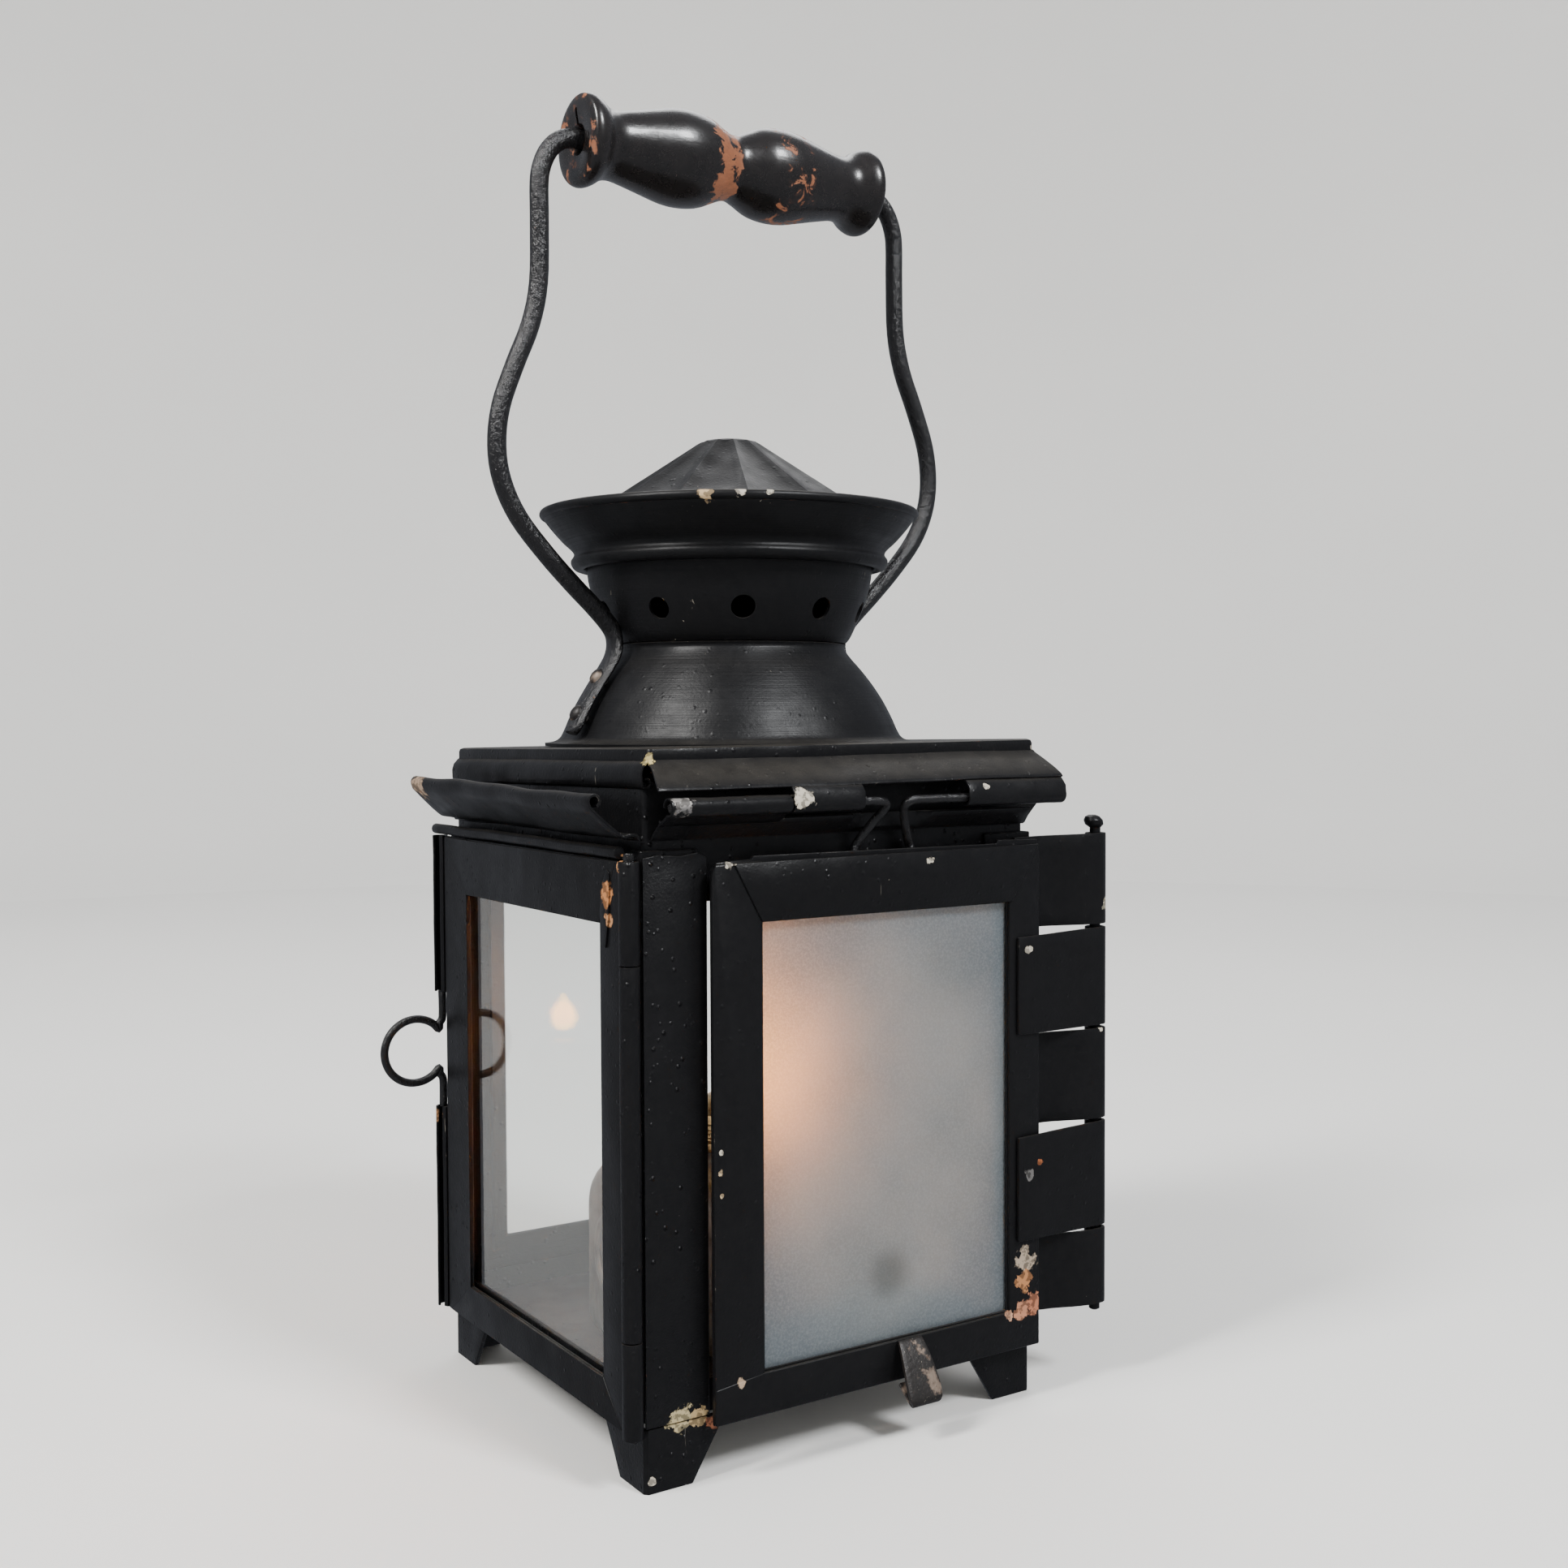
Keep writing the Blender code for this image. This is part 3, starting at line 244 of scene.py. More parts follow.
def black_paint(name, spots=(), wear=0.5, brushed=False, pimples=0.6, dust=0.5):
    """Old satin black paint over sheet steel. spots are (centre, radius, colour) of chipped places."""
    g = Graph(name)
    ragged = g.noise(0.42, 5.0, 0.62)
    patch = g.noise(0.055, 3.0)
    edge = g.math("MULTIPLY", g.step(g.edges(0.45), 0.012, 0.2), g.step(ragged, 0.66 - 0.1 * wear, 0.72))
    edge = g.math("MULTIPLY", edge, g.step(patch, 0.52 - 0.06 * wear, 0.6))
    flecks = g.step(g.noise(0.9, 2.0), 0.80 - 0.02 * wear, 0.815)
    flecks = g.math("MULTIPLY", flecks, g.step(g.noise(0.03, 2.0), 0.5, 0.62))
    lines = g.noise(1.0, 2.0, 0.5, g.stretched(0.9, 0.9, 0.05), 0.6)
    scratches = g.math("MULTIPLY", g.step(lines, 0.735, 0.75), g.step(g.noise(0.08), 0.56, 0.68))
    grime = g.math("MULTIPLY", g.step(g.upward(), 0.55, 0.95), g.range(g.noise(0.16, 4.0), 0.1, 1.0))
    colour = g.mix(g.range(g.noise(0.5, 4.0), 0.0, 0.5), BLACK, (0.009, 0.0088, 0.0092))
    colour = g.mix(g.math("MULTIPLY", grime, 0.2 * dust), colour, DUST)
    colour = g.mix(g.math("MULTIPLY", scratches, 0.3), colour, PALE)
    colour = g.mix(edge, colour, g.mix(g.step(g.noise(0.12), 0.45, 0.55), PALE, RUST))
    colour = g.mix(g.math("MULTIPLY", flecks, 0.8), colour, PALE)
    chipped = g.either(edge, flecks)
    bare = None
    for centre, radius, kind in spots:
        mask = g.spot(centre, radius, ragged)
        inner = g.step(g.noise(0.6, 3.0), 0.46, 0.54)
        tone = g.mix(inner, kind, tuple(0.4 * c for c in kind))
        colour = g.mix(mask, colour, tone)
        chipped = g.either(chipped, mask)
        if kind == STEEL:
            bare = mask if bare is None else g.either(bare, mask)
    roughness = g.range(g.noise(0.25, 4.0), 0.25, 0.44)
    roughness = g.math("ADD", roughness, g.math("MULTIPLY", grime, 0.2))
    roughness = g.math("ADD", roughness, g.math("MULTIPLY", chipped, 0.3), clamp=True)
    dents = g.noise(0.028, 2.0)
    peel = g.noise(1.3, 3.0)
    beads = g.math("MULTIPLY", g.step(g.cells(0.3), 0.22, 0.0), g.step(g.noise(0.05), 0.42, 0.6))
    grit = g.math("MULTIPLY", g.step(g.cells(0.42), 0.26, 0.02), g.step(g.noise(0.07, 2.0), 0.46, 0.62))
    height = g.math("ADD", g.math("MULTIPLY", dents, 3.2), g.math("MULTIPLY", peel, 0.05 + 0.05 * pimples))
    height = g.math("ADD", height, g.math("MULTIPLY", beads, 0.5 * pimples))
    height = g.math("ADD", height, g.math("MULTIPLY", grit, 0.22 * pimples))
    height = g.math("SUBTRACT", height, g.math("MULTIPLY", chipped, 0.16))
    if brushed:
        turn = g.noise(1.0, 3.0, 0.6, g.stretched(0.02, 0.02, 3.2))
        roughness = g.math("ADD", roughness, g.range(turn, -0.03, 0.16), clamp=True)
        height = g.math("ADD", height, g.math("MULTIPLY", turn, 0.09))
    normal = g.bump(height, 0.75, 1.0)
    return g.finish(colour, roughness, bare, normal, Specular_IOR_Level=0.2)


def pebbled_paint(name, rust=0.3):
    """Glossy black paint over scaled, uneven steel wire."""
    g = Graph(name)
    scale = g.noise(0.95, 4.0, 0.62, g.stretched(1.0, 1.0, 0.6))
    fine = g.noise(3.2, 2.0)
    patch = g.noise(0.05, 3.0)
    worn = g.math("MULTIPLY", g.step(scale, 0.66, 0.72), g.step(patch, 0.6 - 0.1 * rust, 0.7))
    colour = g.mix(g.range(fine, 0.0, 0.6), (0.0045, 0.0045, 0.005), (0.013, 0.012, 0.012))
    colour = g.mix(g.math("MULTIPLY", worn, 0.7), colour, (0.13, 0.065, 0.035))
    colour = g.mix(g.math("MULTIPLY", g.step(fine, 0.72, 0.76), 0.35), colour, PALE)
    height = g.math("ADD", g.math("MULTIPLY", scale, 1.1), g.math("MULTIPLY", fine, 0.2))
    roughness = g.math("ADD", g.range(patch, 0.12, 0.28), g.math("MULTIPLY", worn, 0.4), clamp=True)
    return g.finish(colour, roughness, None, g.bump(height, 0.8, 0.6), Specular_IOR_Level=0.5)


def rusty_steel(name, rust=0.5):
    """Thin black paint worn off dark steel, with rust in the worn places."""
    g = Graph(name)
    ragged = g.noise(0.2, 5.0, 0.6)
    worn = g.either(g.step(ragged, 0.62 - 0.12 * rust, 0.7 - 0.08 * rust), g.step(g.edges(0.3), 0.1, 0.5))
    worn = g.math("MULTIPLY", worn, g.step(g.noise(0.09), 0.36, 0.52))
    colour = g.mix(g.noise(0.7, 4.0), (0.008, 0.0075, 0.0075), (0.022, 0.018, 0.016))
    colour = g.mix(
        g.math("MULTIPLY", worn, 0.85), colour, g.mix(ragged, (0.15, 0.075, 0.04), (0.2, 0.17, 0.14))
    )
    speck = g.step(g.noise(2.6, 2.0), 0.69, 0.73)
    colour = g.mix(g.math("MULTIPLY", speck, 0.5), colour, PALE)
    roughness = g.range(ragged, 0.3, 0.62)
    height = g.math("ADD", g.noise(1.3, 3.0), g.math("MULTIPLY", worn, -0.5))
    return g.finish(colour, roughness, 0.35, g.bump(height, 0.5, 0.25))


def clear_glass():
    g = Graph("clear_window_glass")
    streak = g.noise(0.05, 3.0, 0.5, g.stretched(1.0, 1.0, 0.4))
    rim = g.step(g.edges(0.5), 0.05, 0.4)
    colour = g.mix(rim, (0.965, 0.985, 0.98), (0.3, 0.62, 0.58))
    roughness = g.range(streak, 0.0, 0.05)
    return g.finish(colour, roughness, 0.0, g.bump(streak, 0.06, 0.3), Transmission_Weight=1.0, IOR=1.48)


def frosted_glass():
    """Ground glass: fine grains, painted shade in a darker bluish tone at its borders and a few smudges."""
    g = Graph("frosted_window_glass")
    grain = g.noise(1.6, 4.0, 0.75)
    cloud = g.noise(0.035, 3.0)
    low, high = (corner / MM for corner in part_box("frosted_glass"))
    middle = (low + high) / 2
    inward = g.vector("SUBTRACT", g.mm, tuple(middle))
    reach = g.vector("LENGTH", g.vector("MULTIPLY", inward, (1 / 42.0, 0.0, 1 / 58.0)))
    # Painted shade: the pane is made darker and bluer towards its borders, by the frame.
    border_shade = g.step(reach, 0.66, 1.1)
    colour = g.mix(g.step(cloud, 0.35, 0.7), (0.40, 0.425, 0.43), (0.31, 0.35, 0.365))
    colour = g.mix(g.math("MULTIPLY", border_shade, 0.6), colour, (0.13, 0.19, 0.25))
    colour = g.mix(g.math("MULTIPLY", g.step(grain, 0.4, 0.66), 0.5), colour, (0.56, 0.6, 0.62))
    for x, z, radius, depth in ((10.0, 42.0, 9.0, 0.5), (32.0, 118.0, 16.0, 0.12)):
        place = (x, (low.y + high.y) / 2, z)
        smudge = g.step(g.vector("DISTANCE", g.mm, place), radius, radius * 0.25)
        colour = g.mix(g.math("MULTIPLY", smudge, depth), colour, (0.12, 0.135, 0.13))
    roughness = g.range(grain, 0.38, 0.52)
    return g.finish(
        colour, roughness, 0.0, g.bump(grain, 0.45, 0.15), Transmission_Weight=0.72, IOR=1.46
    )


def tin():
    g = Graph("dull_tinplate")
    stain = g.noise(0.12, 5.0, 0.6)
    colour = g.mix(g.step(stain, 0.35, 0.7), (0.13, 0.125, 0.115), (0.055, 0.05, 0.044))
    colour = g.mix(g.math("MULTIPLY", g.step(g.noise(0.5, 4.0), 0.66, 0.74), 0.5), colour, (0.12, 0.07, 0.04))
    turn = g.noise(1.0, 2.0, 0.5, g.stretched(0.05, 0.05, 2.5))
    height = g.math("ADD", g.noise(0.2, 3.0), g.math("MULTIPLY", turn, 0.12))
    return g.finish(
        colour, g.range(stain, 0.42, 0.62), 0.45, g.bump(height, 0.3, 0.4), Specular_IOR_Level=0.2
    )


def brass():
    g = Graph("tarnished_brass")
    stain = g.noise(0.35, 5.0, 0.6)
    colour = g.mix(g.step(stain, 0.4, 0.65), (0.34, 0.26, 0.14), (0.13, 0.085, 0.045))
    colour = g.mix(g.math("MULTIPLY", g.edges(0.3), 1.6, clamp=True), colour, (0.7, 0.5, 0.24))
    return g.finish(colour, g.range(stain, 0.28, 0.5), 1.0, g.bump(stain, 0.25, 0.2))


def cotton():
    g = Graph("wick_cotton")
    weave = g.noise(2.0, 2.0, 0.5, g.stretched(1.0, 1.0, 2.5))
    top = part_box("wick")[1].z / MM
    height = g.node("ShaderNodeSeparateXYZ")
    g.put(height.inputs[0], g.mm)
    char = g.step(height.outputs["Z"], top - 2.5, top - 0.8)
    colour = g.mix(weave, (0.28, 0.2, 0.12), (0.5, 0.42, 0.3))
    colour = g.mix(char, colour, (0.012, 0.01, 0.009))
    return g.finish(colour, 0.9, 0.0, g.bump(weave, 0.6, 0.3))


def worn_wood():
    """Black lacquer on turned wood, rubbed through round the waist and in patches."""
    g = Graph("worn_lacquered_wood")
    split = g.node("ShaderNodeSeparateXYZ")
    g.put(split.inputs[0], g.mm)
    along = split.outputs["X"]
    ragged = g.noise(0.2, 6.0, 0.68, distortion=0.7)
    fine = g.noise(0.8, 5.0, 0.6, g.stretched(0.35, 1.0, 1.0))
    waist = g.step(g.math("ABSOLUTE", g.math("ADD", along, 4.8)), 9.0, 1.5)
    barrel = g.math("MULTIPLY", g.step(g.math("ABSOLUTE", g.math("SUBTRACT", along, 17.0)), 12.0, 3.0), 0.62)
    ends = g.math("MULTIPLY", g.step(g.math("ABSOLUTE", along), 43.2, 46.4), 0.5)
    reach = g.math("MULTIPLY", g.either(waist, barrel, ends), 0.34)
    level = g.math("ADD", g.math("ADD", ragged, reach), g.math("MULTIPLY", fine, 0.08))
    bare = g.step(level, 0.8, 0.815)
    rim = g.math("MULTIPLY", g.step(level, 0.76, 0.8), 0.6)
    grain = g.noise(1.0, 4.0, 0.6, g.stretched(0.12, 1.6, 1.6))
    timber = g.mix(grain, (0.11, 0.032, 0.013), (0.3, 0.105, 0.04))
    lacquer = g.mix(g.noise(0.3, 4.0), (0.004, 0.0037, 0.0037), (0.011, 0.0085, 0.008))
    colour = g.mix(rim, lacquer, (0.06, 0.022, 0.012))
    colour = g.mix(bare, colour, timber)
    roughness = g.math("ADD", g.range(ragged, 0.2, 0.36), g.math("MULTIPLY", bare, 0.32), clamp=True)
    height = g.math("ADD", g.math("MULTIPLY", bare, -0.6), g.math("MULTIPLY", g.noise(0.7, 4.0), 0.2))
    height = g.math("ADD", height, g.math("MULTIPLY", grain, 0.15))
    return g.finish(colour, roughness, 0.0, g.bump(height, 0.5, 0.4), Coat_Weight=0.15)


# ---------------------------------------------------------------- mesh tools


def spline(points, per=6):
    """A smooth line through points, per steps between each two."""
    points = [Vector(p) for p in points]
    count = len(points)
    made = []
    for i in range(count - 1):
        a, b, c = points[max(i - 1, 0)], points[i], points[i + 1]
        d = points[min(i + 2, count - 1)]
        for k in range(per):
            t = k / per
            made.append(
                0.5 * (
                    (2 * b) + (c - a) * t + (2 * a - 5 * b + 4 * c - d) * t * t
                    + (3 * b - a - 3 * c + d) * t**3
                )
            )
    made.append(points[-1])
    return made


def piece(name, bm, material, body, stands_for=(), slot="black_paint", smooth=38.0):
    """Makes a visible piece that rides on a body and stands for CAD nodes."""
    bmesh.ops.recalc_face_normals(bm, faces=bm.faces)
    mesh = bpy.data.meshes.new(name)
    bm.to_mesh(mesh)
    bm.free()
    made = bpy.data.objects.new(name, mesh)
    bpy.context.scene.collection.objects.link(made)
    mesh.materials.append(material)
    made["smooth"] = smooth
    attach(made, body)
    if stands_for:
        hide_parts(*stands_for)
    return made


def settle(made):
    """Turns an object's modifiers into its mesh, and shades it smooth between its sharp edges."""
    if made.modifiers:
        graph = bpy.context.evaluated_depsgraph_get()
        mesh = bpy.data.meshes.new_from_object(made.evaluated_get(graph))
        made.modifiers.clear()
        made.data = mesh
    made.data.shade_smooth()
    made.data.set_sharp_from_angle(angle=math.radians(made["smooth"]))
    return made


def grid(bm, rows, closed=False):
    """Faces between rows of points. A closed row runs all the way round."""
    verts = [[bm.verts.new(point) for point in row] for row in rows]
    for upper, lower in zip(verts, verts[1:]):
        count = len(upper)
        for i in range(count if closed else count - 1):
            j = (i + 1) % count
            bm.faces.new((upper[i], lower[i], lower[j], upper[j]))
    return verts


def bevel(made, width, segments=2, angle=35.0):
    rounded = made.modifiers.new("bevel", "BEVEL")
    rounded.width = width * MM
    rounded.segments = segments
    rounded.limit_method = "ANGLE"
    rounded.angle_limit = math.radians(angle)


def sheet(name, rows, thickness, material, body, stands_for=(), closed=False, edge=0.2, offset=0.0, **more):
    """Sheet metal through rows of points, with rounded edges."""
    bm = bmesh.new()
    grid(bm, [[at(*p) for p in row] for row in rows], closed)
    made = piece(name, bm, material, body, stands_for, **more)
    solid = made.modifiers.new("sheet", "SOLIDIFY")
    solid.thickness = thickness * MM
    solid.offset = offset
    solid.use_even_offset = True
    bevel(made, edge, 2, 50.0)
    return settle(made)


def lathe(name, profile, material, body, stands_for=(), axis=None, steps=128, **more):
    """Turns a closed profile of (radius, height) in mm about an upright axis, or about a given matrix."""
    place = axis if axis is not None else Matrix.Translation(at(0, 0, 0))
    bm = bmesh.new()
    rows = []
    for i in range(steps):
        angle = math.tau * i / steps
        turn = Vector((math.cos(angle), math.sin(angle), 0.0))
        rows.append([place @ (turn * r * MM + Vector((0, 0, z * MM))) for r, z in profile])
    verts = [[bm.verts.new(point) for point in row] for row in rows]
    count = len(profile)
    for i in range(steps):
        first, second = verts[i], verts[(i + 1) % steps]
        for k in range(count):
            j = (k + 1) % count
            bm.faces.new((first[k], first[j], second[j], second[k]))
    bmesh.ops.remove_doubles(bm, verts=bm.verts, dist=0.001 * MM)
    return piece(name, bm, material, body, stands_for, **more)


def shell(line, thickness):
    """A closed wall from an outer line of (radius, height), offset towards the axis."""
    inner = []
    for i, spot in enumerate(line):
        before = line[max(i - 1, 0)]
        after = line[min(i + 1, len(line) - 1)]
        along = (Vector(after) - Vector(before)).normalized()
        inner.append((spot[0] + along.y * thickness, spot[1] - along.x * thickness))
    return [tuple(p) for p in line] + inner[::-1]


def sweep(name, path, section, material, body, stands_for=(), count=16, **more):
    """A bar along a path. section(share) gives half its width and half its thickness, in mm, at a share
    of the way along. Widths are square to the bend."""
    points = [at(*p) for p in path]
    bm = bmesh.new()
    rings = []
    normal = None
    for i, point in enumerate(points):
        along = (points[min(i + 1, len(points) - 1)] - points[max(i - 1, 0)]).normalized()
        if normal is None:
            normal = along.cross(Vector((0, 1, 0)))
            normal = normal if normal.length > 0.1 else along.cross(Vector((0, 0, 1)))
        normal = (normal - along * normal.dot(along)).normalized()
        side = along.cross(normal)
        wide, thick = section(i / (len(points) - 1))
        ring = []
        for k in range(count):
            angle = math.tau * k / count
            offset = side * (wide * math.sin(angle)) + normal * (thick * math.cos(angle))
            ring.append(point + offset * MM)
        rings.append(ring)
    verts = grid(bm, rings, closed=True)
    bm.faces.new(verts[0][::-1])
    bm.faces.new(verts[-1])
    made = piece(name, bm, material, body, stands_for, **more)
    bevel(made, 0.25, 2, 60.0)
    return settle(made)


def wire(name, path, radius, material, body, stands_for=(), **more):
    return sweep(name, path, lambda share: (radius, radius), material, body, stands_for, **more)


def plate(
    name, outline, normal, level, thickness, material, body, stands_for=(), edge=0.35, hole=None, **more
):
    """A flat plate. outline is in (X, Z) for normal Y and in (Y, Z) for normal X; level is its middle."""
    curve = bpy.data.curves.new(name, "CURVE")
    curve.dimensions = "2D"
    curve.fill_mode = "BOTH"
    curve.extrude = thickness / 2
    for points in (outline,) if hole is None else (outline, hole):
        line = curve.splines.new("POLY")
        line.points.add(len(points) - 1)
        for point, (x, y) in zip(line.points, points):
            point.co = (x, y, 0.0, 1.0)
        line.use_cyclic_u = True
    guide = bpy.data.objects.new(name + "_guide", curve)
    bpy.context.scene.collection.objects.link(guide)
    graph = bpy.context.evaluated_depsgraph_get()
    mesh = bpy.data.meshes.new_from_object(guide.evaluated_get(graph))
    bm = bmesh.new()
    bm.from_mesh(mesh)
    bmesh.ops.remove_doubles(bm, verts=bm.verts, dist=0.005)
    for vert in bm.verts:
        a, b, c = vert.co
        vert.co = at(a, level - c, b) if normal == "Y" else at(level - c, a, b)
    bpy.data.objects.remove(guide)
    made = piece(name, bm, material, body, stands_for, **more)
    bevel(made, edge, 3)
    return settle(made)


def rectangle(left, bottom, right, top):
    return [(left, bottom), (right, bottom), (right, top), (left, top)]


def cut(made, cutters):
    """Cuts shapes out of a piece, and removes the shapes."""
    for cutter in cutters:
        hole = made.modifiers.new("cut", "BOOLEAN")
        hole.object = cutter
    settle(made)
    for cutter in cutters:
        bpy.data.objects.remove(cutter)
    return made


def bar(start, end, radius, count=40):
    """A plain round cutter."""
    start, end = at(*start), at(*end)
    turn = (end - start).to_track_quat("Z", "Y").to_matrix().to_4x4()
    bm = bmesh.new()
    bmesh.ops.create_cone(
        bm,
        cap_ends=True,
        segments=count,
        radius1=radius * MM,
        radius2=radius * MM,
        depth=(end - start).length,
        matrix=Matrix.Translation((start + end) / 2) @ turn,
    )
    mesh = bpy.data.meshes.new("cutter")
    bm.to_mesh(mesh)
    bm.free()
    made = bpy.data.objects.new("cutter", mesh)
    bpy.context.scene.collection.objects.link(made)
    return made


def wobble(share, amount, seed=0.0):
    """A small repeatable unevenness."""
    return amount * (math.sin(share * 9.1 + seed) + 0.6 * math.sin(share * 23.7 + seed * 1.7)) / 1.6


# ---------------------------------------------------------------- materials in use

ROOF_SPOTS = (
    ((-58.2, -57.6, 175.4), 1.7, (0.4, 0.32, 0.14)),
    ((-57.0, -58.6, 172.0), 1.5, (0.2, 0.19, 0.17)),
    ((-21.0, -68.0, 166.0), 2.6, PALE),
    ((36.0, -68.2, 167.4), 0.9, PALE),
    ((60.5, -57.0, 176.8), 0.9, PALE),
)
CROWN_SPOTS = (
    ((-31.5, -41.0, 241.6), 2.2, (0.42, 0.3, 0.17)),
    ((-24.5, -45.8, 241.6), 1.3, PALE),
    ((-18.0, -48.8, 241.8), 1.0, PALE),
)
PANEL_SPOTS = (
    ((54.6, -62.9, 38.0), 3.4, (0.3, 0.24, 0.18)),
    ((54.2, -62.9, 33.0), 3.0, (0.34, 0.15, 0.06)),
    ((57.6, -62.9, 26.0), 3.0, (0.34, 0.13, 0.07)),
    ((52.6, -62.9, 25.2), 2.6, (0.36, 0.16, 0.09)),
    ((48.4, -62.9, 24.6), 1.6, (0.4, 0.22, 0.14)),
    ((-41.2, -62.6, 81.0), 0.7, PALE),
    ((-41.4, -62.6, 76.0), 0.9, (0.4, 0.3, 0.18)),
    ((-41.0, -62.6, 70.5), 0.7, (0.4, 0.3, 0.18)),
    ((-36.0, -62.6, 24.0), 1.1, (0.3, 0.22, 0.15)),
    ((-38.6, -63.0, 150.4), 1.5, PALE),
    ((21.8, -63.0, 148.2), 1.1, PALE),
    ((-12.0, -62.9, 151.6), 0.8, PALE),
)
LEAF_SPOTS = (
    ((82.6, -63.4, 133.5), 1.7, (0.3, 0.28, 0.22)),
    ((54.4, -63.8, 122.8), 1.0, PALE),
    ((54.6, -63.8, 62.0), 1.5, STEEL),
    ((80.4, -63.6, 99.0), 0.9, PALE),
    ((58.5, -63.6, 64.8), 1.0, RUST),
)
DOOR_SPOTS = (
    ((-63.0, -55.0, 150.6), 2.4, (0.5, 0.24, 0.1)),
    ((-63.8, -47.4, 143.0), 2.8, (0.34, 0.14, 0.05)),
    ((-63.8, -48.2, 137.5), 1.8, (0.34, 0.16, 0.07)),
    ((-64.6, 58.0, 70.5), 1.8, (0.3, 0.16, 0.08)),
)
COLLAR_SPOTS = (
    ((-72.5, 50.0, 166.2), 4.2, (0.24, 0.17, 0.12)),
    ((-70.0, 42.0, 165.4), 1.2, (0.42, 0.34, 0.13)),
    ((-54.5, -67.8, 165.2), 2.6, STEEL),
    ((56.5, -63.4, 161.6), 0.9, PALE),
)
FOOT_SPOTS = (
    ((-50.5, -58.2, 16.6), 3.4, (0.36, 0.3, 0.17)),
    ((-45.6, -58.2, 16.2), 2.6, (0.34, 0.24, 0.12)),
    ((-41.0, -58.2, 13.4), 2.2, (0.26, 0.09, 0.045)),
    ((-58.0, -58.2, 3.2), 1.2, PALE),
)

plain_paint = black_paint("black_paint_body", FOOT_SPOTS, pimples=1.6)
roof_paint = black_paint("black_paint_roof", ROOF_SPOTS, wear=0.7, dust=1.0)
turned_paint = black_paint(
    "black_paint_dome", (((2.0, -44.0, 197.0), 0.6, PALE),), 0.4, brushed=True, pimples=0.3
)
crown_paint = black_paint("black_paint_crown", CROWN_SPOTS, wear=1.4, brushed=True, pimples=0.2, dust=0.7)
panel_paint = black_paint("black_paint_panel", PANEL_SPOTS, wear=0.7, pimples=0.5)
leaf_paint = black_paint("black_paint_hinge", LEAF_SPOTS, wear=0.9, pimples=0.3)
door_paint = black_paint("black_paint_door", DOOR_SPOTS, wear=0.7, pimples=0.6)
collar_paint = black_paint("black_paint_collar", COLLAR_SPOTS, wear=0.9)
lug_metal = rusty_steel("rusty_lug", 0.8)
dark_wire = pebbled_paint("dark_wire", 0.2)
bail_metal = pebbled_paint("bail_wire", 0.5)
rivet_metal = rusty_steel("rusty_rivet", 0.9)
CLEAR = clear_glass()
FROSTED = frosted_glass()
TIN = tin()
BRASS = brass()
COTTON = cotton()
WOOD = worn_wood()

# ---------------------------------------------------------------- roof


def rounded_square(half_x, half_y, z, radius, count=5):
    """A rectangle with round corners, as a row of points."""
    row = []
    for turn, (sx, sy) in enumerate(((1, 1), (-1, 1), (-1, -1), (1, -1))):
        for i in range(count):
            angle = math.radians(90) * (turn + i / (count - 1))
            x = sx * (half_x - radius) + radius * math.cos(angle)
            y = sy * (half_y - radius) + radius * math.sin(angle)
            row.append((x, y, z))
    return row


def askew(made):
    """The real roof sits a little to the right and isn't quite level."""
    tilt = Matrix.Identity(4)
    tilt[2][0], tilt[2][1] = ROOF_SLOPE
    middle = Matrix.Translation((0.0, BODY_Y, 0.0))
    made.data.transform(
        Matrix.Translation((ROOF_SHIFT[0] * MM, ROOF_SHIFT[1] * MM, 0.0)) @ middle @ tilt @ middle.inverted()
    )


def roof():
    """The folded plate with its fascias, and the front skirt that rolls into the hinge's knuckles."""
    half_x, half_y = HALF_X - 0.4, HALF_Y - 0.2
    rows = [
        rounded_square(33, 33, ROOF_TOP, 14),
        rounded_square(half_x - 5.0, half_y - 5.0, ROOF_TOP, 2.2),
        rounded_square(half_x - 1.0, half_y - 1.0, ROOF_TOP, 1.6),
        rounded_square(half_x - 0.25, half_y - 0.25, ROOF_TOP - 0.35, 1.5),
        rounded_square(half_x, half_y, ROOF_TOP - 1.1, 1.5),
        rounded_square(half_x, half_y, ROOF_TOP - 3.4, 1.5),
    ]
    askew(
        sheet("roof_top", rows, 0.9, roof_paint, "roof", ["roof_plate"], closed=True, edge=0.1, offset=-1.0)
    )
    # Fascias of the other three sides, each ending in a rolled hem.
    for side, half, run in (("left", half_x, half_y), ("right", half_x, half_y), ("back", half_y, half_x)):
        profile = [(-0.7, -3.0), (0.1, -3.5), (1.2, -4.7), (1.55, -6.2), (1.5, -8.0)]
        for i in range(9):
            angle = math.radians(8 - 290 * i / 8)
            profile.append((0.35 + 1.15 * math.cos(angle), -8.4 + 1.15 * math.sin(angle)))
        rows = []
        for out, drop in profile:
            row = []
            for k in range(25):
                share = k / 24
                spot = (2 * share - 1) * (run - 0.3)
                reach = half + out + wobble(share, 0.14, drop)
                z = ROOF_TOP + drop
                points = {"left": (-reach, spot, z), "right": (reach, spot, z), "back": (spot, reach, z)}
                row.append(points[side])
            rows.append(row)
        askew(sheet("roof_fascia_" + side, rows, 0.55, roof_paint, "roof", edge=0.12))
    # The front skirt.
    rows = []
    for out, drop, widen in (
        (-0.4, -3.0, -0.4),
        (0.1, -3.7, 0.0),
        (3.2, -5.6, 0.7),
        (6.2, -7.7, 1.6),
        (8.3, -9.4, 2.2),
        (8.9, -10.2, 2.3),
    ):
        row = []
        for k in range(41):
            share = k / 40
            x = (2 * share - 1) * (half_x + widen)
            row.append((x, -(half_y + out), ROOF_TOP + drop + wobble(share, 0.16, 1.0)))
        rows.append(row)
    askew(sheet("roof_skirt", rows, 0.6, roof_paint, "roof", edge=0.15))


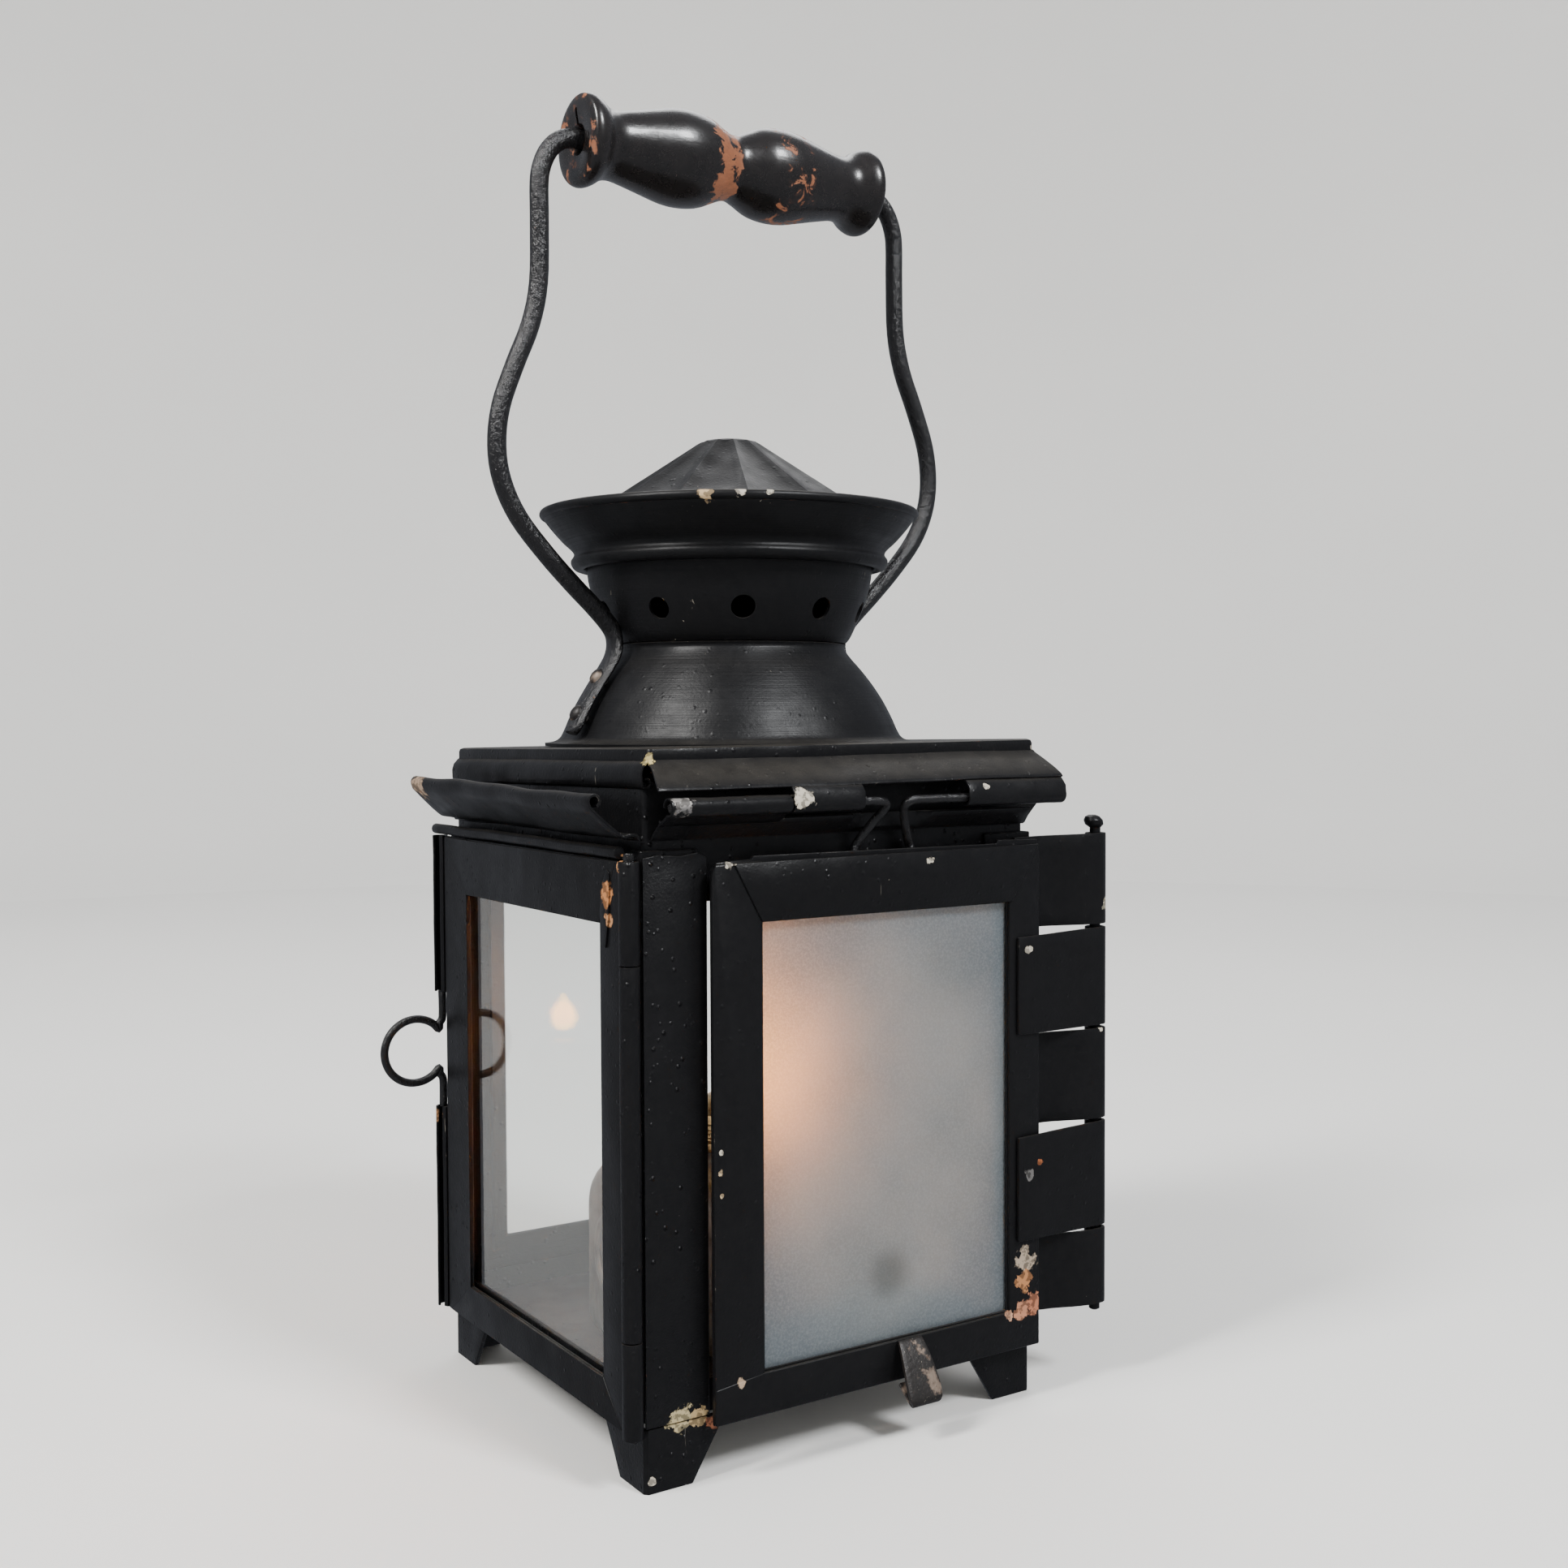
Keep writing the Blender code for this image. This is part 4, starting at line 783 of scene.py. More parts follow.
def knuckle(name, start, end, radius, material, body, stands_for, run, turn):
    """Sheet rolled round the roof's hinge wire. run is where the sheet comes from, as (y, z) points, and
    turn is where on the roll it arrives and how far it goes round, in degrees."""
    y0, z0 = ROOF_AXIS
    line = [Vector(p) for p in run]
    for i in range(17):
        angle = math.radians(turn[0] + turn[1] * i / 16)
        line.append(Vector((y0 + radius * math.cos(angle), z0 + radius * math.sin(angle))))
    rows = []
    for point in line:
        row = []
        for k in range(13):
            share = k / 12
            x = start + (end - start) * share
            row.append((x, point.x + wobble(share, 0.05, start), point.y + wobble(share, 0.08, end)))
        rows.append(row)
    return sheet(name, rows, 0.55, material, body, stands_for, edge=0.12)


def roof_hinge():
    """The skirt's two knuckles, the body's own between them, and the wire through all three."""
    skirt_edge = [(-64.5, 169.9), (-66.5, 168.5), (-67.9, 166.9)]
    for side, start, end in (("left", -23.5, -2.6), ("right", 30.4, 63.4)):
        node = "roof_knuckle_" + side
        knuckle(node + "_rolled", start, end, 2.05, roof_paint, "roof", [node], skirt_edge, (158, 285))
    flap = [(-61.4, 160.0), (-63.2, 160.9), (-64.9, 161.9)]
    knuckle(
        "collar_knuckle_rolled", -57.5, -24.0, 2.05, collar_paint, "root", ["collar_knuckle"], flap,
        (-75, -285)
    )
    ring, middle_x, ring_y, ring_z = 9.2, 9.4, -58.9, 149.0
    y, z = ROOF_AXIS
    path = [
        (-3.0, y, z), (2.0, y, z), (5.4, y + 0.6, z - 0.6), (5.9, y + 1.9, z - 2.4), (4.2, y + 4.6, z - 5.8)
    ]
    opening = math.radians(62)
    for i in range(17):
        angle = math.pi / 2 + opening + (math.tau - 2 * opening) * i / 16
        path.append((middle_x + ring * math.cos(angle), ring_y, ring_z + ring * math.sin(angle)))
    path += [(14.4, y + 4.6, z - 5.8), (12.2, y + 1.9, z - 2.2), (12.4, y + 0.5, z - 0.7)]
    path += [(14.2, y, z), (18.0, y, z), (36.0, y, z), (63.5, y, z)]
    wire("hinge_wire", spline(path, 5), 1.15, dark_wire, "root", ["roof_hinge_wire"], slot="worn_steel")
    path = [(-57.0 + 53.6 * k / 8, y, z) for k in range(9)]
    wire("hinge_wire_end", path, 1.15, dark_wire, "root", ["roof_hinge_wire"], slot="worn_steel")


def dome():
    line = [
        (32.3, 205.2),
        (32.0, 204.0),
        (33.6, 201.6),
        (36.4, 198.4),
        (39.5, 194.4),
        (42.5, 189.8),
        (44.9, 185.2),
        (46.5, 181.6),
        (47.6, 179.8),
        (49.2, 178.9),
        (51.6, 178.5),
    ]
    made = lathe("dome_spun", shell(spline(line, 5), 0.8), turned_paint, "roof", ["dome"], steps=160)
    settle(made)


def cup():
    line = [(39.6, 227.4), (39.3, 223.0), (37.7, 217.0), (35.3, 211.0), (33.5, 207.2), (32.2, 205.6)]
    made = lathe("vent_cup_spun", shell(spline(line, 4), 0.8), turned_paint, "roof", ["vent_cup"], steps=160)
    cutters = []
    for i in range(VENT_HOLES):
        angle = math.tau * (i + 0.78) / VENT_HOLES
        out = Vector((math.cos(angle), math.sin(angle), -0.35)).normalized()
        middle = Vector((36.4 * math.cos(angle), 36.4 * math.sin(angle), 214.0))
        cutters.append(bar(middle - out * 6, middle + out * 6, 3.1 + 0.12 * math.sin(i * 2.3)))
    cut(made, cutters)


def crown():
    line = [
        (40.1, 229.0),
        (40.2, 226.6),
        (41.2, 225.9),
        (42.8, 226.1),
        (43.8, 227.2),
        (44.0, 228.5),
        (43.3, 229.6),
        (43.2, 230.5),
        (44.0, 231.7),
        (46.4, 233.9),
        (49.0, 236.8),
        (50.9, 239.2),
    ]
    line = [tuple(p) for p in spline(line, 4)]
    roll = []
    for i in range(13):
        angle = math.radians(-95 + 260 * i / 12)
        roll.append((51.35 + 1.2 * math.cos(angle), 241.1 + 1.2 * math.sin(angle)))
    inner = [(50.0, 240.0), (48.4, 237.6), (45.6, 234.7), (42.6, 232.0), (41.0, 230.4)]
    settle(lathe("crown_spun", line + roll + inner, crown_paint, "roof", ["crown_ring"], steps=180))


def cap():
    """The pleated cone, a sharp ridge at each pleat and a shallow hollow between."""
    per = 8
    rows = []
    rings = ((0.05, 261.0, 0.0), (6.4, 261.15, 0.0), (7.5, 260.9, 0.25), (9.0, 260.0, 0.7))
    rings += ((16.0, 255.4, 1.3), (24.0, 250.2, 1.7), (34.0, 243.7, 1.9), (45.0, 236.6, 1.7))
    for radius, z, depth in rings:
        row = []
        for i in range(CAP_PLEATS * per):
            share = i % per / per
            angle = math.tau * i / (CAP_PLEATS * per) + 0.12
            lift = -depth * math.sin(math.pi * share) ** 0.75
            r = radius + 0.35 * lift
            row.append((r * math.cos(angle), r * math.sin(angle), z + 0.75 * lift))
        rows.append(row)
    sheet(
        "cap_pleated", rows, 0.7, cap_paint(), "roof", ["cap"], closed=True, edge=0.12, offset=1.0,
        smooth=16.0
    )


def cap_paint():
    return black_paint("black_paint_cap", (), wear=1.5, pimples=0.4, dust=0.12)


BAIL_LEG = (
    (49.4, 181.3),
    (46.3, 187.4),
    (42.7, 193.1),
    (39.3, 198.0),
    (36.9, 202.0),
    (36.3, 205.8),
    (37.6, 209.6),
    (42.4, 214.8),
    (48.4, 220.4),
    (56.2, 228.2),
    (64.0, 237.4),
    (68.4, 246.4),
    (69.8, 255.4),
    (68.6, 265.4),
    (64.6, 276.4),
    (60.0, 287.4),
    (57.6, 298.4),
    (57.2, 313.0),
)


def bail():
    side, bend, drop, wire_radius = 57.2, 10.0, 14.0, 2.5
    leg = list(BAIL_LEG)
    for i in range(6):
        angle = math.radians(90) * i / 5
        leg.append((side - bend + bend * math.cos(angle), BAIL_TOP - drop + drop * math.sin(angle)))
    leg = [(p.x, p.y) for p in spline(leg, 4)]
    path = [(x, 0.0, z) for x, z in leg] + [(20.0, 0.0, BAIL_TOP), (-20.0, 0.0, BAIL_TOP)]
    path += [(-x, 0.0, z) for x, z in leg[::-1]]
    strap = 16 / (len(path) - 1)
    fade = 9 / (len(path) - 1)

    def section(share):
        share = min(share, 1 - share)
        flat = min(max((strap + fade - share) / fade, 0.0), 1.0)
        flat = flat * flat * (3 - 2 * flat)
        end = min(1.0, 0.55 + share / (1.2 / (len(path) - 1)) * 0.45)
        return wire_radius * (1 + 0.75 * flat) * end, wire_radius * (1 - 0.46 * flat)

    sweep("bail_bent", path, section, bail_metal, "roof", ["bail"], count=24, slot="bail_paint")
    slope = Vector((3.2, 0.0, -5.2)).normalized()
    for sign, side_name in ((1, "right"), (-1, "left")):
        for level, x, z in (("upper", 40.4, 195.4), ("lower", 46.4, 185.8)):
            out = Vector((-slope.z * sign, 0.0, slope.x))
            turn = out.to_track_quat("Z", "Y").to_matrix().to_4x4()
            place = Matrix.Translation(at(x * sign, 0.0, z)) @ turn
            head = [
                (0.0, 3.1), (0.9, 3.0), (1.8, 2.6), (2.4, 1.9), (2.5, 1.35), (1.2, 1.3), (1.2, -3.6),
                (0.0, -3.6)
            ]
            name = "rivet_%s_%s" % (side_name, level)
            rivet = lathe(
                name + "_domed", head, rivet_metal, "roof", [name], axis=place, steps=24, slot="worn_steel"
            )
            settle(rivet)


def grip():
    half = [
        (2.0, 9.1),
        (5.0, 10.3),
        (9.0, 12.0),
        (14.0, 12.75),
        (19.0, 12.5),
        (25.0, 11.2),
        (31.5, 9.7),
        (36.0, 8.95),
        (39.2, 9.5),
        (42.0, 11.3),
        (44.2, 12.05),
        (45.9, 11.5),
        (46.5, 9.8),
    ]
    outer = [(-x, r) for x, r in half[::-1]] + [(0.0, 8.75)] + half
    line = [(p.y, p.x) for p in spline(outer, 5)]
    bore = [(7.0, 46.3), (4.1, 45.8), (3.1, 44.2), (3.1, 0.0), (3.1, -44.2), (4.1, -45.8), (7.0, -46.3)]
    place = Matrix.Translation(at(0, 0, BAIL_TOP)) @ Matrix.Rotation(math.radians(90), 4, "Y")
    made = lathe(
        "grip_turned", line + bore, WOOD, "grip", ["grip"], axis=place, steps=96, slot="painted_wood"
    )
    crack = bpy.data.objects.new("crack", bpy.data.meshes.new("crack"))
    bm = bmesh.new()
    size = Matrix.Diagonal((9 * MM, 1.0 * MM, 7.5 * MM, 1))
    bmesh.ops.create_cube(bm, size=1.0, matrix=Matrix.Translation(at(-44.5, 0, BAIL_TOP + 4.5)) @ size)
    bm.to_mesh(crack.data)
    bm.free()
    bpy.context.scene.collection.objects.link(crack)
    cut(made, [crack])


# ---------------------------------------------------------------- body


def collars():
    """The flanges below the eave: a long flap with a rolled hem on the left, a strip at the front."""
    low = BODY_TOP + 2.4
    left = [
        (-0.6, low), (0.3, low + 1.2), (2.2, low + 1.4), (3.9, low + 1.2), (8.0, low + 4.4),
        (12.2, low + 8.2)
    ]
    line = spline(left, 3)
    for i in range(1, 12):
        angle = math.radians(-45) + math.tau * 0.8 * i / 11
        line.append(Vector((11.3 + 1.45 * math.cos(angle), low + 9.9 + 1.45 * math.sin(angle))))
    rows = []
    for point in line:
        row = []
        for k in range(33):
            share = k / 32
            spread = 0.5 + 0.5 * min(max(point.x / 12.0, 0.0), 1.0)
            y = -56.5 + 111.5 * share
            x = -(HALF_X + point.x + wobble(share, 0.35, 0.4) * spread)
            row.append(
                (x, y, point.y + wobble(share, 0.4, 2.0) * spread + 3.0 * (share - 0.25) * (spread - 0.5))
            )
        rows.append(row)
    sheet("left_flap", rows, 0.7, collar_paint, "root", ["collar_left"], edge=0.15)
    rows = []
    for out, z in ((-0.6, low), (0.5, low + 1.2), (2.6, low + 3.0), (4.6, low + 4.6)):
        row = []
        for k in range(47):
            x = -57.0 + 115.0 * k / 46
            notched = -2.0 < x < 21.0 and out > 0.6
            row.append(
                (x - max(0.0, out - 1.0) * (x > 57.5) * 0.5, -(HALF_Y + out * (0.18 if notched else 1.0)), z)
            )
        rows.append(row)
    sheet("front_strip", rows, 0.7, collar_paint, "root", ["collar_front"], edge=0.15)


def band():
    """The plain band under the eave, up into the roof, and the strips that close the sill of the pan."""
    rows = []
    for z in (BAND_TOP, 163.0, 150.0, 141.0):
        rows.append(rounded_square(HALF_X - 1.4, HALF_Y - 1.4, z, 1.4))
    sheet("body_band", rows, 0.9, plain_paint, "root", ["upper_band"], closed=True, edge=0.15, offset=-1.0)
    face = [
        (-60.0, 16.2), (-42.5, 16.2), (-42.3, 151.8), (-44.6, 153.2), (-50.0, 152.5), (-56.0, 153.0),
        (-59.8, 152.4)
    ]
    plate("post_front_face", face, "Y", -57.95, 0.6, plain_paint, "root", edge=0.3)
    low, high = 23.2, 27.0
    plate("sill_back", rectangle(-56.4, low, 56.4, high), "Y", 55.5, 1.0, plain_paint, "root", edge=0.2)
    plate("sill_right", rectangle(-53.8, low, 53.8, high), "X", 58.0, 1.0, plain_paint, "root", edge=0.2)


def feet():
    for name_y, side_y in (("front", -1), ("back", 1)):
        for name_x, side_x in (("left", -1), ("right", 1)):
            rows = []
            for z, leg in ((15.75, 22.0), (11.0, 19.2), (6.0, 16.1), (0.0, 12.5)):
                x, y = side_x * HALF_X, side_y * HALF_Y
                row = [(x - side_x * leg * k / 4, y, z) for k in range(4, 0, -1)]
                row += [(x - side_x * 0.6, y, z), (x, y - side_y * 0.6, z)]
                row += [(x, y - side_y * leg * k / 4, z) for k in range(1, 5)]
                rows.append(row)
            node = "foot_%s_%s" % (name_y, name_x)
            made = sheet(node + "_bent", rows, 1.2, plain_paint, "root", [node], edge=0.2, offset=0.0)
            shift = Vector((-side_x * 0.6 * MM, -side_y * 0.6 * MM, 0.0))
            made.data.transform(Matrix.Translation(shift))


def front_pin():
    top, bottom = LEAF_LEVELS[0], LEAF_LEVELS[-1]
    x, y = PANEL_AXIS
    line = [(0.02, top + 4.5), (1.0, top + 4.45), (2.0, top + 4.0), (2.65, top + 3.0), (2.55, top + 1.8)]
    line += [(1.5, top + 0.9), (1.5, bottom - 1.6), (0.9, bottom - 2.0), (0.02, bottom - 2.0)]
    place = Matrix.Translation(at(x, y, 0))
    made = lathe("hinge_pin_headed", line, leaf_paint, "root", ["front_hinge_pin"], axis=place, steps=32)
    for vert in made.data.vertices:
        above = vert.co.z / MM - top
        if above > 0.5:
            vert.co.x -= 0.32 * (above - 0.5) * MM
    settle(made)


def leaves():
    """The strips that roll round the front panel's pin, in turn from the body and from the panel."""
    axis_x, axis_y = PANEL_AXIS
    for i, (top, bottom) in enumerate(zip(LEAF_LEVELS, LEAF_LEVELS[1:])):
        on_body = i % 2 == 0
        start = 53.6 if on_body else 51.0
        node = ("body_leaf_%d" if on_body else "panel_leaf_%d") % (i // 2 + 1)
        radius, thickness = 2.4, 0.95
        back = axis_y + (radius if on_body else -radius)
        line = []
        for k in range(11):
            share = k / 10
            x = start + (axis_x - 1.5 - start) * share
            forward = min(max((x - 61.5) / (axis_x - 63.0), 0.0), 1.0)
            forward = forward * forward * (3 - 2 * forward)
            line.append((x, back + (axis_y - radius - back) * forward + wobble(share, 0.1, i)))
        for k in range(17):
            angle = math.radians(-90 + 285 * k / 16)
            line.append((axis_x + radius * math.cos(angle), axis_y + radius * math.sin(angle)))
        rows = []
        high, low = top - 0.45, bottom + 0.45
        for n, (x, y) in enumerate(line):
            bend = min(n / 10, 1.0)
            lift = (0.9 if i in (1, 3) else 0.5) * (1 - bend)
            trim = 6.0 * max(0.0, 1 - (x - start) / 8.0) if i == 4 else 0.0
            rows.append([(x, y, low + trim + (high - lift - low - trim) * m / 6) for m in range(7)])
        sheet(
            node + "_rolled", rows, thickness, leaf_paint, "root" if on_body else "front_panel", [node],
            edge=0.25
        )


def front_panel():
    left, bottom, right, top = PANEL_OPENING
    back = PANEL_FACE + 1.15
    mid = PANEL_FACE + 0.75
    outer = [
        (PANEL_LEFT, PANEL_BOTTOM),
        (PANEL_RIGHT - 0.6, PANEL_BOTTOM),
        (PANEL_RIGHT - 0.3, PANEL_TOP - 0.4),
        (PANEL_RIGHT - 14.0, PANEL_TOP),
        (PANEL_RIGHT - 14.6, PANEL_TOP - 1.0),
        (PANEL_LEFT + 12.0, PANEL_TOP - 0.6),
        (PANEL_LEFT + 11.4, PANEL_TOP - 1.4),
        (PANEL_LEFT + 1.6, PANEL_TOP - 1.8),
        (PANEL_LEFT, PANEL_TOP - 3.6),
    ]
    hole = rectangle(left + 0.4, bottom + 0.4, right - 0.4, top - 0.4)
    plate(
        "panel_back_sheet", outer, "Y", back, 0.8, panel_paint, "front_panel", ["front_panel_frame"], 0.2,
        hole
    )
    plate(
        "panel_stile_left",
        [(PANEL_LEFT, PANEL_BOTTOM + 0.3), (left, PANEL_BOTTOM + 0.6), (left + 0.1, top + 14.6),
         (PANEL_LEFT + 0.9, top + 14.4), (PANEL_LEFT, top + 12.6)],
        "Y", mid, 1.5, panel_paint, "front_panel", edge=0.6)
    plate(
        "panel_stile_right",
        [(right, PANEL_BOTTOM + 0.9), (PANEL_RIGHT, PANEL_BOTTOM + 0.3), (PANEL_RIGHT, top + 14.8),
         (right - 0.1, top + 14.4)],
        "Y", mid - 0.04, 1.5, panel_paint, "front_panel", edge=0.5)
    plate(
        "panel_rail_bottom",
        [(PANEL_LEFT + 0.1, PANEL_BOTTOM), (
            PANEL_RIGHT - 0.1, PANEL_BOTTOM
        ), (PANEL_RIGHT - 0.1, bottom - 2.2),
         (right + 0.3, bottom), (left - 0.3, bottom), (PANEL_LEFT + 0.1, bottom - 1.6)],
        "Y", mid - 0.22, 1.4, panel_paint, "front_panel", edge=0.45)
    plate(
        "panel_rail_top",
        [(left - 0.4, top - 0.2), (right + 0.8, top), (PANEL_RIGHT - 0.5, PANEL_TOP - 1.6),
         (PANEL_LEFT + 5.8, PANEL_TOP - 2.2)],
        "Y", mid - 0.75, 0.9, panel_paint, "front_panel", edge=0.3)
    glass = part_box("frosted_glass")
    low, high = glass[0] / MM, glass[1] / MM
    shift = BODY_Y / MM
    plate(
        "frosted_pane",
        rectangle(low.x, low.z, high.x, high.z),
        "Y",
        (low.y + high.y) / 2 - shift,
        high.y - low.y,
        FROSTED,
        "front_panel",
        ["frosted_glass"],
        0.15,
        slot="frosted_glass",
    )
    line = [(0.45, 24.6, 3.6), (1.1, 24.1, 3.8), (3.4, 20.6, 4.4), (5.9, 15.6, 5.0), (7.4, 12.2, 5.0)]
    line += [(7.6, 11.0, 4.6), (7.1, 10.3, 4.1), (5.9, 10.6, 4.0), (3.4, 12.2, 3.8), (0.9, 14.0, 3.6)]
    rows = []
    for point in spline(line, 3):
        depth, z, half = point
        y = PANEL_FACE - 0.35 - depth
        rows.append([(14.5 + half * (2 * k / 6 - 1), y, z) for k in range(7)])
    sheet("panel_lug_bent", rows, 0.9, lug_metal, "front_panel", ["front_panel_lug"], edge=0.2)


def roll_line(centre, radius, start, turn, count=14):
    """Points of a rolled hem, in the (X, Y) plane."""
    points = []
    for i in range(count + 1):
        angle = math.radians(start + turn * i / count)
        points.append((centre[0] + radius * math.cos(angle), centre[1] + radius * math.sin(angle)))
    return points


def upright_roll(name, line, low, high, thickness, material, body, stands_for=(), seed=0.0):
    """Sheet that follows a line in plan, from low to high."""
    rows = []
    steps = max(3, int((high - low) / 6))
    for n, (x, y) in enumerate(line):
        loose = n / len(line)
        row = []
        for k in range(steps + 1):
            share = k / steps
            row.append(
                (
                    x + wobble(share, 0.07, seed), y + wobble(share, 0.06, seed + 1) * loose,
                    low + (high - low) * share
                )
            )
        rows.append(row)
    return sheet(name, rows, thickness, material, body, stands_for, edge=0.12)


def left_door():
    plane = DOOR_AXIS[0]
    left, bottom, right, top = DOOR_OPENING
    low, high = PANEL_BOTTOM, PANEL_TOP - 0.8
    near = DOOR_AXIS[1] + 3.4
    far = DOOR_EDGE - 2.0
    notch = far - 2.2
    outline = [
        (near, low),
        (far, low),
        (far, DOOR_NOTCH[0]),
        (notch, DOOR_NOTCH[0] + 0.4),
        (notch, DOOR_NOTCH[1] - 0.4),
        (far, DOOR_NOTCH[1]),
        (far, high),
        (near, high),
    ]
    hole = rectangle(left, bottom, right, top)
    plate(
        "door_back_sheet", outline, "X", plane + 0.35, 0.8, door_paint, "left_door", ["left_door_frame"],
        0.2, hole
    )
    mid = plane - 0.25
    for name, points, level in (
        ("door_stile_near", rectangle(near - 0.2, low + 0.3, left, high - 0.2), mid),
        ("door_stile_far", rectangle(right, low + 0.3, notch - 0.4, high - 0.2), mid),
        (
            "door_rail_bottom",
            [(near + 1, low + 0.4), (far - 4, low + 0.4), (right, bottom), (left, bottom)], mid - 0.12
        ),
        (
            "door_rail_top", [(left, top), (right, top), (far - 4, high - 0.4), (near + 2, high - 0.4)],
            mid - 0.12
        ),
    ):
        plate(name, points, "X", level, 0.7, door_paint, "left_door", edge=0.25)
    # Knuckles at the corner, above and below the body's own, and hems at the free edge.
    for name, z0, z1 in (("low", low, MIDDLE_KNUCKLE[0] - 0.35), ("high", MIDDLE_KNUCKLE[1] + 0.35, high)):
        line = [(plane - 0.2, near + 0.4)] + roll_line(DOOR_AXIS, 2.2, 75, 300)
        upright_roll("door_knuckle_" + name, line, z0, z1, 0.75, door_paint, "left_door", seed=z0)
    for name, z0, z1 in (("low", low, DOOR_NOTCH[0]), ("high", DOOR_NOTCH[1], high)):
        line = [(plane - 0.1, far - 0.6)] + roll_line((plane, DOOR_EDGE), 1.85, -105, 290)
        upright_roll("door_hem_" + name, line, z0, z1, 0.65, door_paint, "left_door", seed=z1)
    # A torn strip of sheet on the near stile, lifted a little.
    strip = [
        (-46.8, 130.4), (-44.6, 131.0), (-44.0, 139.0), (-45.4, 146.0), (-47.6, 149.4), (-49.0, 148.6),
        (-48.4, 138.0)
    ]
    plate("door_torn_strip", strip, "X", plane - 0.85, 0.45, door_paint, "left_door", edge=0.12)
    roll = PANEL_TOP + 1.1
    path = []
    for k in range(25):
        share = k / 24
        path.append((plane - 0.4, -53.2 + 113.6 * share, roll + wobble(share, 0.15, 3.0)))
    wire("door_top_bead", path, 1.45, door_paint, "left_door", ["left_door_top_roll"])
    axis_line = [(-61.0, -50.2)] + roll_line(DOOR_AXIS, 2.2, 60, 285)
    upright_roll(
        "body_knuckle_rolled",
        axis_line,
        MIDDLE_KNUCKLE[0],
        MIDDLE_KNUCKLE[1],
        0.7,
        plain_paint,
        "root",
        ["left_hinge_knuckle"],
        seed=5.0,
    )
    middle = (DOOR_NOTCH[0] + DOOR_NOTCH[1]) / 2
    ring, reach = 9.2, 8.4
    centre = plane - reach
    opening = math.radians(38)
    points = [
        (centre - ring * math.cos(a), DOOR_EDGE, middle + ring * math.sin(a)) for a in ring_angles(opening)
    ]
    spread = ring * math.sin(math.pi - opening)
    tail = 9.0
    low_end = middle - spread - 2.2
    high_end = middle + spread + 2.2
    path = [
        (plane, DOOR_EDGE, low_end - tail), (plane, DOOR_EDGE, low_end - 1.4),
        (plane - 0.9, DOOR_EDGE, low_end + 0.4)
    ]
    path += points
    path += [
        (plane - 0.9, DOOR_EDGE, high_end - 0.4), (plane, DOOR_EDGE, high_end + 1.4),
        (plane, DOOR_EDGE, high_end + tail)
    ]
    wire("ring_pull_bent", spline(path, 4), 1.15, dark_wire, "door_ring", ["ring_pull"], slot="worn_steel")


def ring_angles(opening, count=20):
    """Angles round a ring that is open towards +X, from below to above."""
    start = -(math.pi - opening)
    return [start + 2 * (math.pi - opening) * k / count for k in range(count + 1)]


# ---------------------------------------------------------------- lamp


